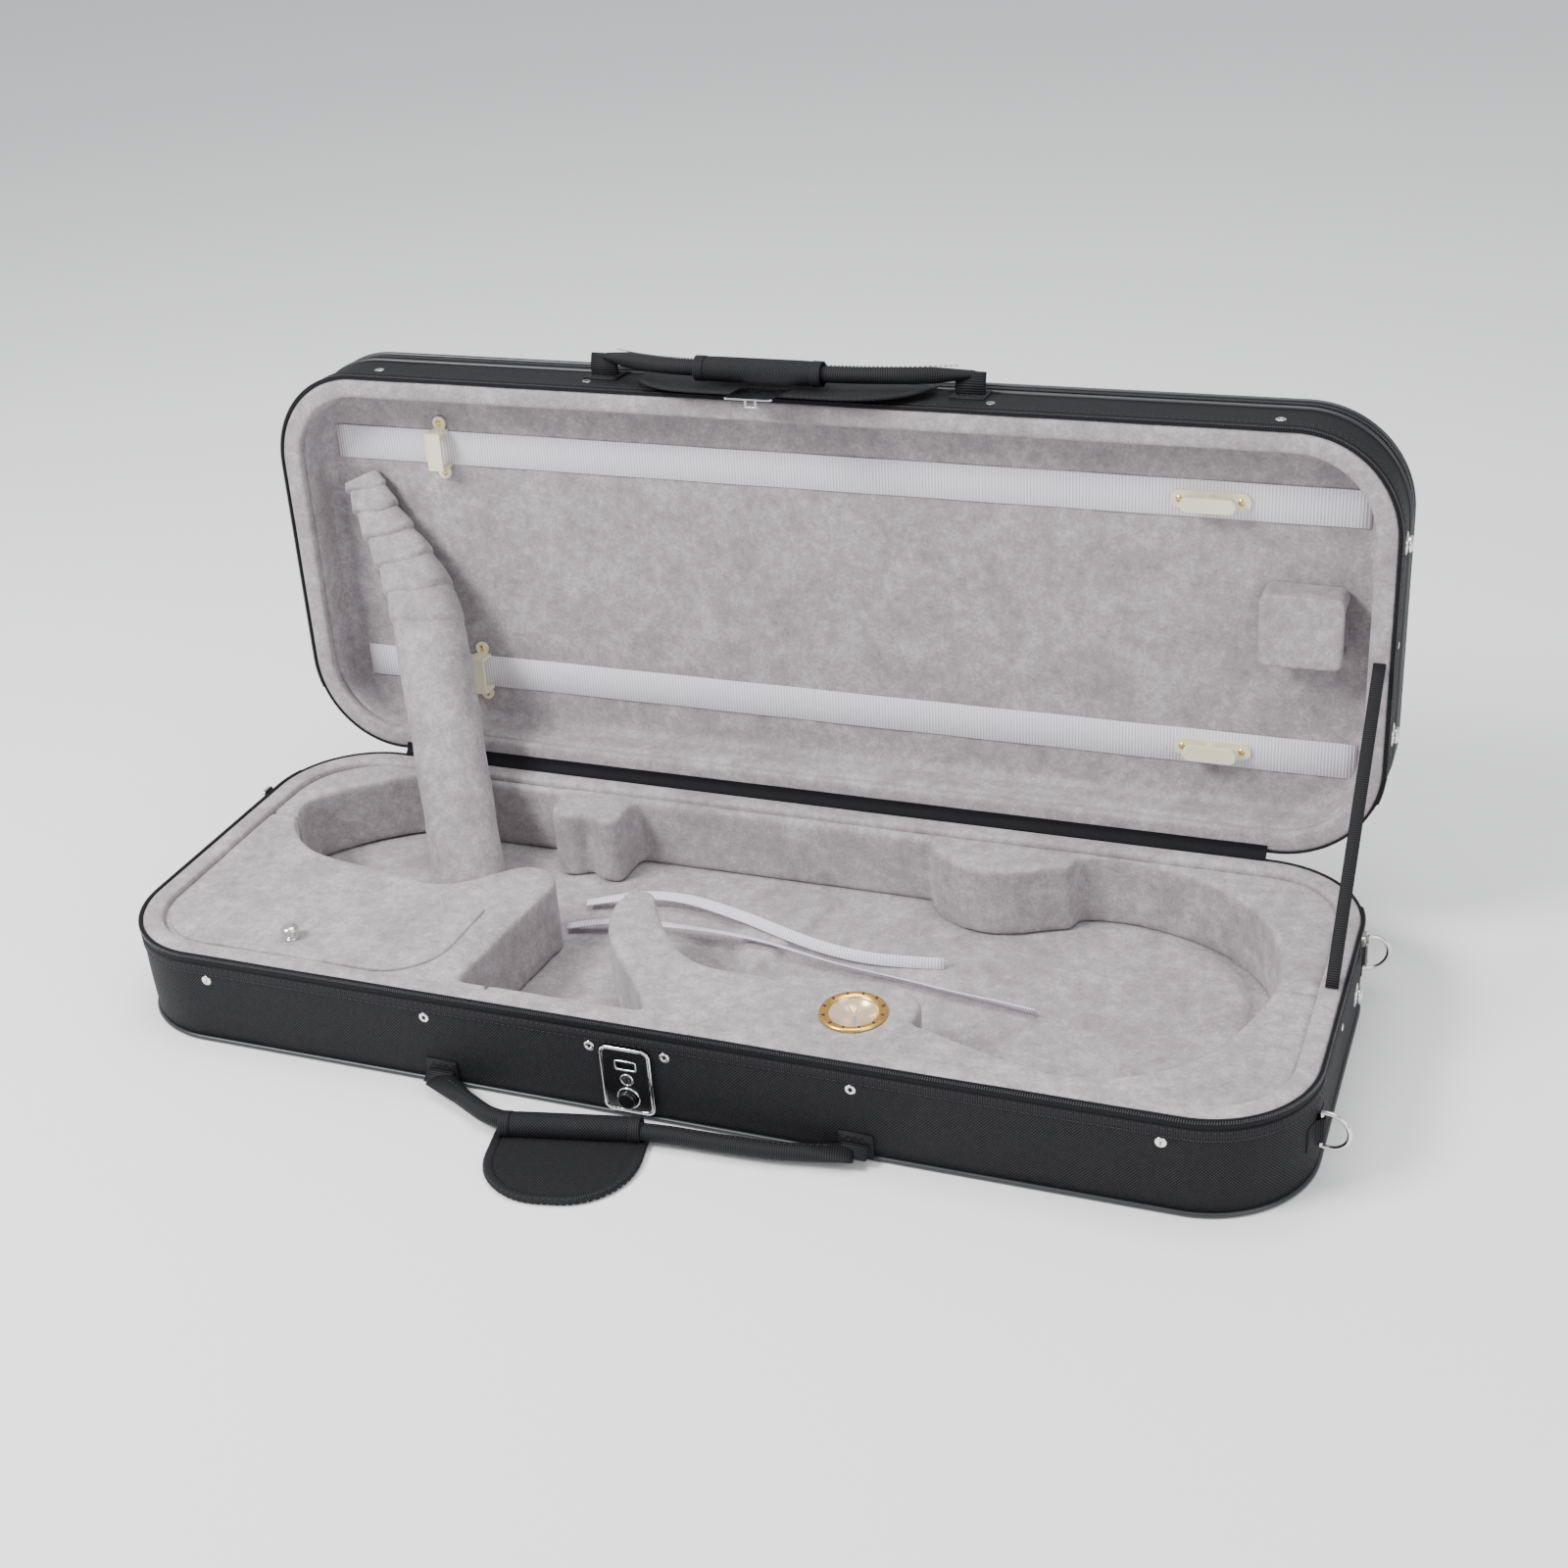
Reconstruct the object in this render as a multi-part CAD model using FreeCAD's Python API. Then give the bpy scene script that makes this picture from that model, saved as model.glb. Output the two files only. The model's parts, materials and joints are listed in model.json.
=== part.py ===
"""Oblong violin case with a music pocket, standing open on its base.

Millimetres. The origin is the centre of the base's bottom face. +X runs along the case towards
its right end, -Y is the front with the lock and the handles, +Y the hinge side, +Z is up.
Lid pieces are drawn on the shut lid, with a depth measured up from the rim plane, and are then
turned back on the hinge line into the open position.
"""
import FreeCAD, Part
import math
import os

os.makedirs("parts", exist_ok=True)
V = FreeCAD.Vector

# Driving dimensions
LENGTH = 800.0
WIDTH = 292.0
CORNER = 68.0
BASE_H = 70.0
SHELL_LID_H = 44.0
LID_H = 62.0
OPEN_DEG = 92.0
COVER_T = 1.0
WALL_T = 4.0
FLOOR_T = 6.0
RIM_W = 15.0
RIM_PAD_H = 8.0
RIM_GAP = 0.5
BED_FLOOR = 13.0
BED_TOP = 66.0
GAP = 0.3

HALF_L = LENGTH / 2
HALF_W = WIDTH / 2
FRONT = -HALF_W
BACK = HALF_W
WALL_IN = COVER_T + WALL_T + 0.1
HINGE_Y = BACK + 2.5
HINGE_Z = BASE_H
NUDGE = 1.0


# ---------------------------------------------------------------- helpers
def save(node, *solids):
    shape = Part.makeCompound([s for item in solids for s in item.Solids])
    shape.exportStep("parts/%s.step" % node)


def box(low, high):
    return Part.makeBox(high[0] - low[0], high[1] - low[1], high[2] - low[2], V(*low))


def rod(start, end, radius):
    line = V(*end) - V(*start)
    return Part.makeCylinder(radius, line.Length, V(*start), line)


def joined(solids):
    shape = solids[0]
    for other in solids[1:]:
        shape = shape.fuse(other)
    return shape.removeSplitter()


def outline(inset, z):
    """The case's plan: a rectangle with round corners, inset from the outer face."""
    hx = HALF_L - inset
    hy = HALF_W - inset
    r = CORNER - inset
    edges = []
    corners = [(hx - r, hy - r, 0), (-hx + r, hy - r, 1), (-hx + r, -hy + r, 2), (hx - r, -hy + r, 3)]
    ends = []
    for cx, cy, quarter in corners:
        a, b = [V(math.cos(q * math.pi / 2), math.sin(q * math.pi / 2), 0) for q in (quarter, quarter + 1)]
        centre = V(cx, cy, z)
        middle = centre + (a + b).normalize() * r
        edges.append(Part.Arc(centre + a * r, middle, centre + b * r).toShape())
        ends.append((centre + a * r, centre + b * r))
    for i in range(4):
        edges.append(Part.LineSegment(ends[i][1], ends[(i + 1) % 4][0]).toShape())
    return Part.Wire(Part.__sortEdges__(edges))


def slab(inset, low, high):
    return Part.Face(outline(inset, low)).extrude(V(0, 0, high - low))


def band(outer, inner, low, high):
    return slab(outer, low, high).cut(slab(inner, low - NUDGE, high + NUDGE))


def bead(inset, z, radius):
    """A round cord that follows the plan, half sunk into the face it trims."""
    path = outline(inset, z)
    start = path.Edges[0].valueAt(path.Edges[0].FirstParameter)
    along = path.Edges[0].tangentAt(path.Edges[0].FirstParameter)
    section = Part.Wire(Part.makeCircle(radius, start, along))
    ring = path.makePipeShell([section], True, False)
    return Part.makeSolid(ring) if not ring.Solids else ring


def half_bead(z, radius):
    return bead(0, z, radius).cut(slab(0, z - 2 * radius, z + 2 * radius))


def curve(points, z):
    spline = Part.BSplineCurve()
    spline.interpolate([V(x, y, z) for x, y in points])
    return spline.toShape()


def plan_prism(stretches, low, high):
    """Extrude a closed plan made of smooth stretches; two points make a straight one."""
    edges = []
    for points in stretches:
        if len(points) == 2:
            edges.append(Part.makeLine(V(*points[0], low), V(*points[1], low)))
        else:
            edges.append(curve(points, low))
    return Part.Face(Part.Wire(edges)).extrude(V(0, 0, high - low))


def rounded_plate(x0, x1, y0, y1, z0, z1, radius):
    """A plate with its four vertical edges rounded."""
    plate = box((x0, y0, z0), (x1, y1, z1))
    upright = [e for e in plate.Edges if abs(e.tangentAt(e.FirstParameter).z) > 0.9]
    return plate.makeFillet(radius, upright)


def tube_path(points):
    """Straight runs joined by tangent arcs, each arc as large as its two runs allow."""
    pts = [V(*p) for p in points]
    edges = []
    radii = []
    last = pts[0]
    for before, here, after in zip(pts, pts[1:], pts[2:]):
        a = (before - here).normalize()
        b = (after - here).normalize()
        turn = math.pi - a.getAngle(b)
        setback = 0.45 * min((before - here).Length, (after - here).Length)
        radius = setback / math.tan(turn / 2)
        radii.append(radius)
        start = here + a * setback
        stop = here + b * setback
        centre = here + (a + b).normalize() * (radius / math.cos(turn / 2))
        middle = centre + (here - centre).normalize() * radius
        edges.append(Part.makeLine(last, start))
        edges.append(Part.Arc(start, middle, stop).toShape())
        last = stop
    edges.append(Part.makeLine(last, pts[-1]))
    return Part.Wire(edges), radii


def tube(points, radius):
    path, radii = tube_path(points)
    first = path.Edges[0]
    along = first.tangentAt(first.FirstParameter)
    section = Part.Wire(Part.makeCircle(radius, first.valueAt(first.FirstParameter), along))
    shape = path.makePipeShell([section], True, False)
    return shape, path, radii


def on_lid(shape):
    """Lift a piece drawn on the shut lid to the rim plane and open it on the hinge line."""
    shut = shape.translated(V(0, 0, BASE_H))
    return shut.rotated(V(0, HINGE_Y, HINGE_Z), V(1, 0, 0), -OPEN_DEG)


# ---------------------------------------------------------------- lock sizes
LOCK_X = -12.0
LOCK_W = 34.0
LOCK_LOW = 6.0
LOCK_HIGH = 54.0
LOCK_FACE = FRONT - 3.2
LOCK_BACK = FRONT + WALL_IN - 0.1
SLOT_Z = 41.0
SLOT_W = 11.0
SLOT_H = 4.0
KEY_Z = 30.5
KEY_R = 3.2
BUTTON_Z = 17.0
BUTTON_R = 6.0
BUTTON_TRAVEL = 2.5
LOCK_BODY_W = 26.0


def lock_window():
    half = LOCK_BODY_W / 2
    low = (LOCK_X - half, FRONT - NUDGE, LOCK_LOW + 3)
    return box(low, (LOCK_X + half, LOCK_BACK + NUDGE, LOCK_HIGH - 3))


# ---------------------------------------------------------------- base shell and trim
ZIP_LOW = BASE_H - 7.6
BINDING_LOW = BASE_H - 15.6
LID_BINDING = (7.6, 15.6)
ZIP_END_Y = 105.0
TAPE_T = 0.9
BINDING_T = 1.2
PIPING_R = 1.8
TOOTH_R = 0.9


def zip_half(low, high, tooth_z):
    """Zip tape with its tooth cord along three sides; it stops short of the hinge side."""
    tape = band(-TAPE_T, 0, low, high)
    teeth = bead(-TAPE_T, tooth_z, TOOTH_R)
    hinge_side = box((-LENGTH, ZIP_END_Y, low - 5), (LENGTH, WIDTH, high + 5))
    return joined([tape, teeth.cut(slab(0, low - 5, high + 5))]).cut(hinge_side)


def base_trim():
    tray = slab(COVER_T, 0, BASE_H - RIM_PAD_H).cut(slab(COVER_T + WALL_T, FLOOR_T, BASE_H))
    save("base_shell", tray.cut(lock_window()))
    save("base_cover", band(0, COVER_T, 0, BASE_H - RIM_GAP).cut(lock_window()))
    save("base_bottom_piping", half_bead(PIPING_R + 0.2, PIPING_R))
    save("base_rim_binding", band(-BINDING_T, 0, BINDING_LOW, ZIP_LOW))
    save("base_zip", zip_half(ZIP_LOW, BASE_H - RIM_GAP, BASE_H - 1.9))
    save("base_rim_pad", band(COVER_T, RIM_W, BASE_H - RIM_PAD_H, BASE_H - RIM_GAP))


# ---------------------------------------------------------------- suspension bed
WELL_FRONT = -122.0
BACK_EDGE = 125.0
BOX_RIGHT = -132.0
SPLIT_X = -118.0

# The cavity's edge seen from above; each stretch starts where the last one ends.
SCROLL_FRONT = [(-369, 67), (-344, 16), (-326, 4), (-265, -9), (-209, -15), (-177, 10), (-156, 21),
                (-137, 12), (BOX_RIGHT, -8)]
BOX_SIDE = [(BOX_RIGHT, -8), (-141, WELL_FRONT)]
WELL_EDGE = [(-141, WELL_FRONT), (-9, WELL_FRONT)]
ARM_LEFT = [(-9, WELL_FRONT), (-43, -79), (-72, -39), (-79, 6)]
ARM_TIP = [(-79, 6), (-69, 12), (-57, 6)]
UPPER_BOUT = [(-57, 6), (-31, -35), (8, -64), (53, -67), (70, -75)]
GAUGE_BLOCK = [(70, -75), (92, -65), (122, -53), (155, -70), (154, -92)]
LOWER_BOUT = [(154, -92), (188, -102), (258, -118), (314, -96), (350, -37), (359, 20), (338, 78),
              (285, 118), (206, BACK_EDGE)]
WAIST_END = [(206, BACK_EDGE), (203, 112)]
WAIST = [(203, 112), (186, 105), (167, 96), (140, 93), (116, 103), (102, 118)]
WAIST_START = [(102, 118), (102, BACK_EDGE)]
BACK_WALL = [(102, BACK_EDGE), (-305, BACK_EDGE)]
SCROLL_BACK = [(-305, BACK_EDGE), (-343, 98), (-369, 67)]
CAVITY = [SCROLL_FRONT, BOX_SIDE, WELL_EDGE, ARM_LEFT, ARM_TIP, UPPER_BOUT, GAUGE_BLOCK, LOWER_BOUT,
          WAIST_END, WAIST, WAIST_START, BACK_WALL, SCROLL_BACK]

# Accessory box lid: left, right, front and back edge, with a wide round on the case's corner.
BOX_LID = (-381.0, -163.0, -126.0, -39.0)
BOX_LID_ROUNDS = (48.0, 42.0, 4.0, 8.0)
BOX_LID_T = 3.2
BOX_LEDGE = 9.0
BOX_LID_TOP = BED_TOP + 0.4
CRADLE = [[(-186, BACK_EDGE + 4), (-183, 106)], [(-183, 106), (-174, 93), (-163, 95), (-154, 104)],
          [(-154, 104), (-146, 94), (-132, 92), (-127, 106)], [(-127, 106), (-125, BACK_EDGE + 4)],
          [(-125, BACK_EDGE + 4), (-186, BACK_EDGE + 4)]]
BOUT_PAD = [[(-26, 78), (-8, 102), (14, 112), (38, 104)], [(38, 104), (30, 82), (22, 42), (6, 4)],
            [(6, 4), (-26, 78)]]
TAIL_PAD = [[(281, 108), (302, 56), (307, 19), (305, -11)], [(305, -11), (330, -8)],
            [(330, -8), (338, 30), (326, 80), (300, 106)], [(300, 106), (281, 108)]]
PAD_H = 5.0

GAUGE_X = 119.0
GAUGE_Y = -92.0
GAUGE_R = 21.5
GAUGE_SEAT_R = 18.0
GAUGE_DEPTH = 8.0


def cornered_plate(edges, rounds, inset, low, high):
    """A plate with its own radius on each corner: front left, front right, back right, back left."""
    x0, x1, y0, y1 = edges
    x0, x1, y0, y1 = x0 + inset, x1 - inset, y0 + inset, y1 - inset
    plate = box((x0, y0, low), (x1, y1, high))
    spots = [(x0, y0), (x1, y0), (x1, y1), (x0, y1)]
    for (x, y), radius in zip(spots, rounds):
        size = max(radius - inset, 1.0)
        upright = [e for e in plate.Edges if math.hypot(e.CenterOfMass.x - x, e.CenterOfMass.y - y) < 0.01]
        plate = plate.makeFillet(size, upright)
    return plate


def bed_pieces():
    wall_top = BASE_H - RIM_PAD_H
    lower = slab(WALL_IN, BED_FLOOR, wall_top)
    upper = slab(RIM_W, wall_top, BED_TOP)
    block = joined([lower, upper]).cut(plan_prism(CAVITY, BED_FLOOR - NUDGE, BED_TOP + NUDGE))
    block = block.cut(lock_window())
    low = BED_FLOOR - NUDGE
    high = BED_TOP + NUDGE
    box_zone = box((-HALF_L, FRONT, low), (SPLIT_X, 45, high))
    front_zone = box((SPLIT_X, FRONT, low), (HALF_L, 0, high))
    pads = [plan_prism(plan, BED_FLOOR, BED_FLOOR + PAD_H) for plan in (BOUT_PAD, TAIL_PAD)]
    floor = slab(WALL_IN, FLOOR_T, BED_FLOOR).cut(lock_window())
    save("bed_floor", joined([floor] + pads))

    hollow = cornered_plate(BOX_LID, BOX_LID_ROUNDS, BOX_LEDGE, low, high)
    rebate = cornered_plate(BOX_LID, BOX_LID_ROUNDS, -GAP * 2, BOX_LID_TOP - BOX_LID_T - GAP, high)
    save("compartment_box", block.common(box_zone).cut(hollow).cut(rebate))
    seat = rod((GAUGE_X, GAUGE_Y, BED_TOP - GAUGE_DEPTH), (GAUGE_X, GAUGE_Y, high), GAUGE_SEAT_R)
    save("front_rail", block.common(front_zone).cut(seat))
    cradle = plan_prism(CRADLE, BED_FLOOR, BED_TOP)
    save("back_rail", joined([block.cut(box_zone).cut(front_zone), cradle]))


KNOB_X = -274.0
KNOB_Y = -107.0
KNOB_H = 12.0


def compartment_cover():
    """Lift-up lid of the accessory box with its turned knob."""
    bottom = BOX_LID_TOP - BOX_LID_T
    panel = cornered_plate(BOX_LID, BOX_LID_ROUNDS, 0, bottom, BOX_LID_TOP)
    stem = ((KNOB_X, KNOB_Y, bottom - 3), (KNOB_X, KNOB_Y, BOX_LID_TOP + KNOB_H))
    save("compartment_lid", panel.cut(rod(*stem, 2.0)))
    foot = rod((KNOB_X, KNOB_Y, BOX_LID_TOP), (KNOB_X, KNOB_Y, BOX_LID_TOP + 1.5), 5.0)
    neck = rod((KNOB_X, KNOB_Y, bottom), (KNOB_X, KNOB_Y, BOX_LID_TOP + KNOB_H - 6), 2.0)
    head = Part.makeSphere(6.0, V(KNOB_X, KNOB_Y, BOX_LID_TOP + KNOB_H - 5.5))
    flat = box((KNOB_X - 9, KNOB_Y - 9, BOX_LID_TOP + KNOB_H - 10),
               (KNOB_X + 9, KNOB_Y + 9, BOX_LID_TOP + KNOB_H - 2))
    save("compartment_knob", joined([foot, neck, head.common(flat)]))


def hygrometer():
    """Round humidity gauge: gilt bezel, dial with its needle, and a domed lens."""
    def disc(low, high, radius):
        return rod((GAUGE_X, GAUGE_Y, low), (GAUGE_X, GAUGE_Y, high), radius)

    can = disc(BED_TOP - GAUGE_DEPTH, BED_TOP, GAUGE_SEAT_R - 0.1)
    flange = disc(BED_TOP, BED_TOP + 2.2, GAUGE_R)
    body = joined([can, flange]).cut(disc(BED_TOP - 3, BED_TOP + 5, GAUGE_SEAT_R - 2.5))
    rim = [e for e in body.Edges if e.BoundBox.ZMin > BED_TOP + 2.1]
    save("hygrometer_bezel", body.makeChamfer(0.8, rim))
    dial = disc(BED_TOP - 3, BED_TOP - 2.2, GAUGE_SEAT_R - 2.6)
    hub = disc(BED_TOP - 2.2, BED_TOP - 1.2, 1.4)
    pointer = box((GAUGE_X - 0.4, GAUGE_Y, BED_TOP - 1.7), (GAUGE_X + 0.4, GAUGE_Y + 9, BED_TOP - 1.3))
    save("hygrometer_dial", joined([dial, hub, pointer]))
    save("hygrometer_lens", disc(BED_TOP + 0.1, BED_TOP + 1.0, GAUGE_SEAT_R - 2.6))


# ---------------------------------------------------------------- front hardware
RIVET_Z = 50.0
FRONT_RIVETS = (-319.0, -154.0, -37.0, 14.0, 135.0, 321.0)
RIVET_R = 3.6
STAY_RIVET_Y = -2.0
FOOT_Y = 62.0
FOOT_Z = 28.0
FOOT_R = 8.0
FOOT_H = 5.0
STAY_RIVET_R = 2.6


def rivet(at, outward, radius=RIVET_R, height=1.4):
    """Low domed head whose flat side lies on the surface at 'at'."""
    way = V(*outward)
    ball_r = (radius ** 2 + height ** 2) / (2 * height)
    base = V(*at)
    ball = Part.makeSphere(ball_r, base - way * (ball_r - height))
    return ball.common(Part.makeCylinder(radius, height + NUDGE, base, way))


def lock():
    """Pressed lock case with a slot for the staple, a key cylinder and a push button."""
    half = LOCK_W / 2
    face = rounded_plate(LOCK_X - half, LOCK_X + half, LOCK_LOW, LOCK_HIGH, 0, FRONT - LOCK_FACE, 5)
    face = face.rotated(V(0, 0, 0), V(1, 0, 0), 90).translated(V(0, FRONT, 0))
    body_half = LOCK_BODY_W / 2 - 0.1
    body = box((LOCK_X - body_half, FRONT, LOCK_LOW + 3.1), (LOCK_X + body_half, LOCK_BACK, LOCK_HIGH - 3.1))
    slot = box((LOCK_X - SLOT_W / 2, LOCK_FACE - NUDGE, SLOT_Z - SLOT_H / 2),
               (LOCK_X + SLOT_W / 2, LOCK_BACK - 1, SLOT_Z + SLOT_H / 2))
    key_hole = rod((LOCK_X, LOCK_FACE - NUDGE, KEY_Z), (LOCK_X, LOCK_BACK - 1, KEY_Z), KEY_R + 0.05)
    well = rod((LOCK_X, LOCK_FACE - NUDGE, BUTTON_Z), (LOCK_X, FRONT + 1.0, BUTTON_Z), BUTTON_R + GAP)
    guide = rod((LOCK_X, FRONT, BUTTON_Z), (LOCK_X, LOCK_BACK + NUDGE, BUTTON_Z), 2.05)
    save("lock_plate", joined([face, body]).cut(slot).cut(key_hole).cut(well).cut(guide))

    plug = rod((LOCK_X, LOCK_FACE - 0.6, KEY_Z), (LOCK_X, LOCK_BACK - 1.2, KEY_Z), KEY_R)
    keyway = box((LOCK_X - 0.5, LOCK_FACE - 2, KEY_Z - 2), (LOCK_X + 0.5, LOCK_FACE + 3, KEY_Z + 2))
    save("key_cylinder", plug.cut(keyway))
    cap_back = FRONT + 1 - BUTTON_TRAVEL - GAP
    cap = rod((LOCK_X, LOCK_FACE - 5.0, BUTTON_Z), (LOCK_X, cap_back, BUTTON_Z), BUTTON_R)
    cap = cap.makeFillet(1.2, [e for e in cap.Edges if e.BoundBox.YMax < LOCK_FACE - 4.5])
    stem = rod((LOCK_X, LOCK_FACE, BUTTON_Z), (LOCK_X, LOCK_BACK - BUTTON_TRAVEL, BUTTON_Z), 2.0)
    save("lock_button", joined([cap, stem]))


def base_studs():
    heads = [rivet((x, FRONT, RIVET_Z), (0, -1, 0)) for x in FRONT_RIVETS]
    stay = rivet((HALF_L, STAY_RIVET_Y, RIVET_Z - 4), (1, 0, 0), STAY_RIVET_R)
    foot = rivet((HALF_L, FOOT_Y, FOOT_Z), (1, 0, 0), FOOT_R, FOOT_H)
    save("base_studs", *heads, stay, foot)


# ---------------------------------------------------------------- D-rings at the right end
RING_FRONT_DEG = -9.0
RING_BACK_DEG = 20.0
RING_Z = 34.0
RING_WIRE = 1.5
RING_SPAN = 24.0
RING_REACH = 17.0
LOOP_T = 1.2
LOOP_R = RING_WIRE + 0.2
LOOP_TRIM = 3.5


def corner_point(angle_deg, off):
    """A point on the right end's round corner (or the flat between) and its outward direction."""
    a = math.radians(angle_deg)
    sign = 1 if angle_deg > 0 else -1
    out = V(math.cos(a), math.sin(a), 0)
    centre = V(HALF_L - CORNER, sign * (HALF_W - CORNER), 0)
    return centre + out * (CORNER + off), out


def d_ring(name, angle_deg):
    """Wire D-ring on an upright bar, standing out from the case, in a stitched webbing loop."""
    pin, out = corner_point(angle_deg, LOOP_T + LOOP_R)
    half = RING_SPAN / 2
    low = pin + V(0, 0, RING_Z - half)
    high = pin + V(0, 0, RING_Z + half)
    straight = out * (RING_REACH - half)
    tip = pin + out * RING_REACH + V(0, 0, RING_Z)
    bow = Part.Wire([Part.makeLine(low, low + straight),
                     Part.Arc(low + straight, tip, high + straight).toShape(),
                     Part.makeLine(high + straight, high)])
    section = Part.Wire(Part.makeCircle(RING_WIRE, low, out))
    bar = Part.makeCylinder(RING_WIRE, RING_SPAN, low, V(0, 0, 1))
    ends = [Part.makeSphere(RING_WIRE, p) for p in (low, high)]
    save(name, joined([bow.makePipeShell([section], True, False), bar] + ends))
    start = low + V(0, 0, LOOP_TRIM)
    sleeve = Part.makeCylinder(LOOP_R + LOOP_T, RING_SPAN - 2 * LOOP_TRIM, start, V(0, 0, 1))
    sleeve = sleeve.cut(Part.makeCylinder(LOOP_R, RING_SPAN, low, V(0, 0, 1)))
    return sleeve.cut(slab(0, 0, BASE_H))


def ring_hardware():
    loops = [d_ring("d_ring_front", RING_FRONT_DEG), d_ring("d_ring_back", RING_BACK_DEG)]
    save("ring_loops", *loops)


# ---------------------------------------------------------------- handles
HANDLE_R = 6.5
GRIP_R = 8.5
BASE_PIVOT_Y = FRONT - 7.5
BASE_PIVOT_Z = 9.0
BASE_HANDLE = [(-146, BASE_PIVOT_Y), (-118, -170), (-84, -186), (4, -168), (58, -167), (104, -164),
               (137, BASE_PIVOT_Y)]
FLAP_T = 3.0
BASE_FLAP = (92.0, 62.0, 40.0)
LID_PIVOT_Y = FRONT - 12.5
LID_PIVOT_D = 44.0
LID_HANDLE = [(-146, 0), (-126, 18), (-92, 34), (-64, 38), (-19, 38.6), (26, 38), (58, 33), (98, 17),
              (118, 0)]
LID_HANDLE_TILT = 9.0
LID_GRIP = (-64.0, 26.0)
LID_FLAP = (86.0, 28.0, 24.0)


def strap_tube(points):
    shape = tube(points, HANDLE_R)[0]
    ends = [Part.makeSphere(HANDLE_R, V(*points[0])), Part.makeSphere(HANDLE_R, V(*points[-1]))]
    return joined([shape] + ends)


def half_round_flap(length, depth, radius, thickness):
    """A flap hanging from the X axis towards -Y, its two free corners rounded."""
    plate = box((-length / 2, -depth, 0), (length / 2, 0, thickness))
    free = [e for e in plate.Edges if abs(e.tangentAt(e.FirstParameter).z) > 0.9 and e.CenterOfMass.y < -1]
    return plate.makeFillet(radius, free)


def base_handle():
    """Webbing handle lying on the floor in front, with its sewn grip and D-shaped flap."""
    strap = strap_tube([(x, y, BASE_PIVOT_Z) for x, y in BASE_HANDLE])
    save("base_handle_strap", strap)
    start = V(*BASE_HANDLE[2], BASE_PIVOT_Z)
    stop = V(*BASE_HANDLE[3], BASE_PIVOT_Z)
    along = (stop - start).normalize()
    middle = (start + stop) * 0.5
    length = BASE_FLAP[0]
    sleeve = Part.makeCylinder(GRIP_R, length, middle - along * (length / 2), along)
    flap = half_round_flap(*BASE_FLAP, FLAP_T)
    flap = flap.rotated(V(0, 0, 0), V(0, 0, 1), math.degrees(math.atan2(along.y, along.x)))
    flap = flap.translated(V(middle.x, middle.y, BASE_PIVOT_Z - GRIP_R + 0.2))
    save("base_handle_grip", joined([sleeve, flap]).cut(strap))


def lid_handle():
    """Webbing handle lying over the lid's front wall, its D flap folded back between the arms."""
    strap = strap_tube([(x, -reach, 0) for x, reach in LID_HANDLE])
    start, stop = LID_GRIP
    reach = LID_HANDLE[3][1]
    sleeve = rod((start, -reach, 0), (stop, -reach, 0), GRIP_R)
    flap = half_round_flap(*LID_FLAP, FLAP_T).rotated(V(0, 0, 0), V(0, 0, 1), 180)
    flap = flap.translated(V((start + stop) / 2, -reach, -FLAP_T / 2))
    grip = joined([sleeve, flap]).cut(strap)
    for name, shape in (("lid_handle_strap", strap), ("lid_handle_grip", grip)):
        hung = shape.rotated(V(0, 0, 0), V(1, 0, 0), 90 - LID_HANDLE_TILT)
        save(name, on_lid(hung.translated(V(0, LID_PIVOT_Y, LID_PIVOT_D))))


# ---------------------------------------------------------------- zip sliders
SLIDER_L = 11.0
SLIDER_W = 7.0
SLIDER_T = 2.0
PULL_L = 20.0
PULL_W = 6.0
PULL_T = 1.2
PULL_HOLE_R = 1.6


def slider_and_pull():
    """Slider lying on the XZ plane, outward -Y, running along X; its pull hangs towards -Z."""
    body = rounded_plate(-SLIDER_L / 2, SLIDER_L / 2, -SLIDER_W / 2, SLIDER_W / 2, 0, SLIDER_T, 2.2)
    body = body.rotated(V(0, 0, 0), V(1, 0, 0), 90)
    bail_y = -SLIDER_T - 1.3
    ears = [box((x, bail_y - 0.9, -1.2), (x + 1.0, -SLIDER_T, 1.2)) for x in (-3.0, 2.0)]
    pin = rod((-2.5, bail_y, 0), (2.5, bail_y, 0), 0.6)
    slider = joined([body] + ears + [pin])
    eye = rod((-1.9, bail_y, 0), (1.9, bail_y, 0), 1.15)
    tongue = rounded_plate(-PULL_W / 2, PULL_W / 2, -PULL_L, -1.5, -PULL_T / 2, PULL_T / 2, 2.4)
    hole = rod((0, -PULL_L + 4, -5), (0, -PULL_L + 4, 5), PULL_HOLE_R)
    neck = box((-1.9, -3.0, -PULL_T / 2), (1.9, 0, PULL_T / 2))
    flat = joined([tongue.cut(hole), neck]).rotated(V(0, 0, 0), V(1, 0, 0), 90)
    flat = flat.translated(V(0, bail_y, 0))
    pull = joined([flat, eye]).cut(rod((-9, bail_y, 0), (9, bail_y, 0), 0.66))
    return slider, pull


MAIN_SLIDER_Y = 66.0
MAIN_SLIDER_Z = BASE_H - 2.0
TOOTH_REACH = TAPE_T + TOOTH_R + GAP
POCKET_SLIDER_X = (-44.0, -20.0)


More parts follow.
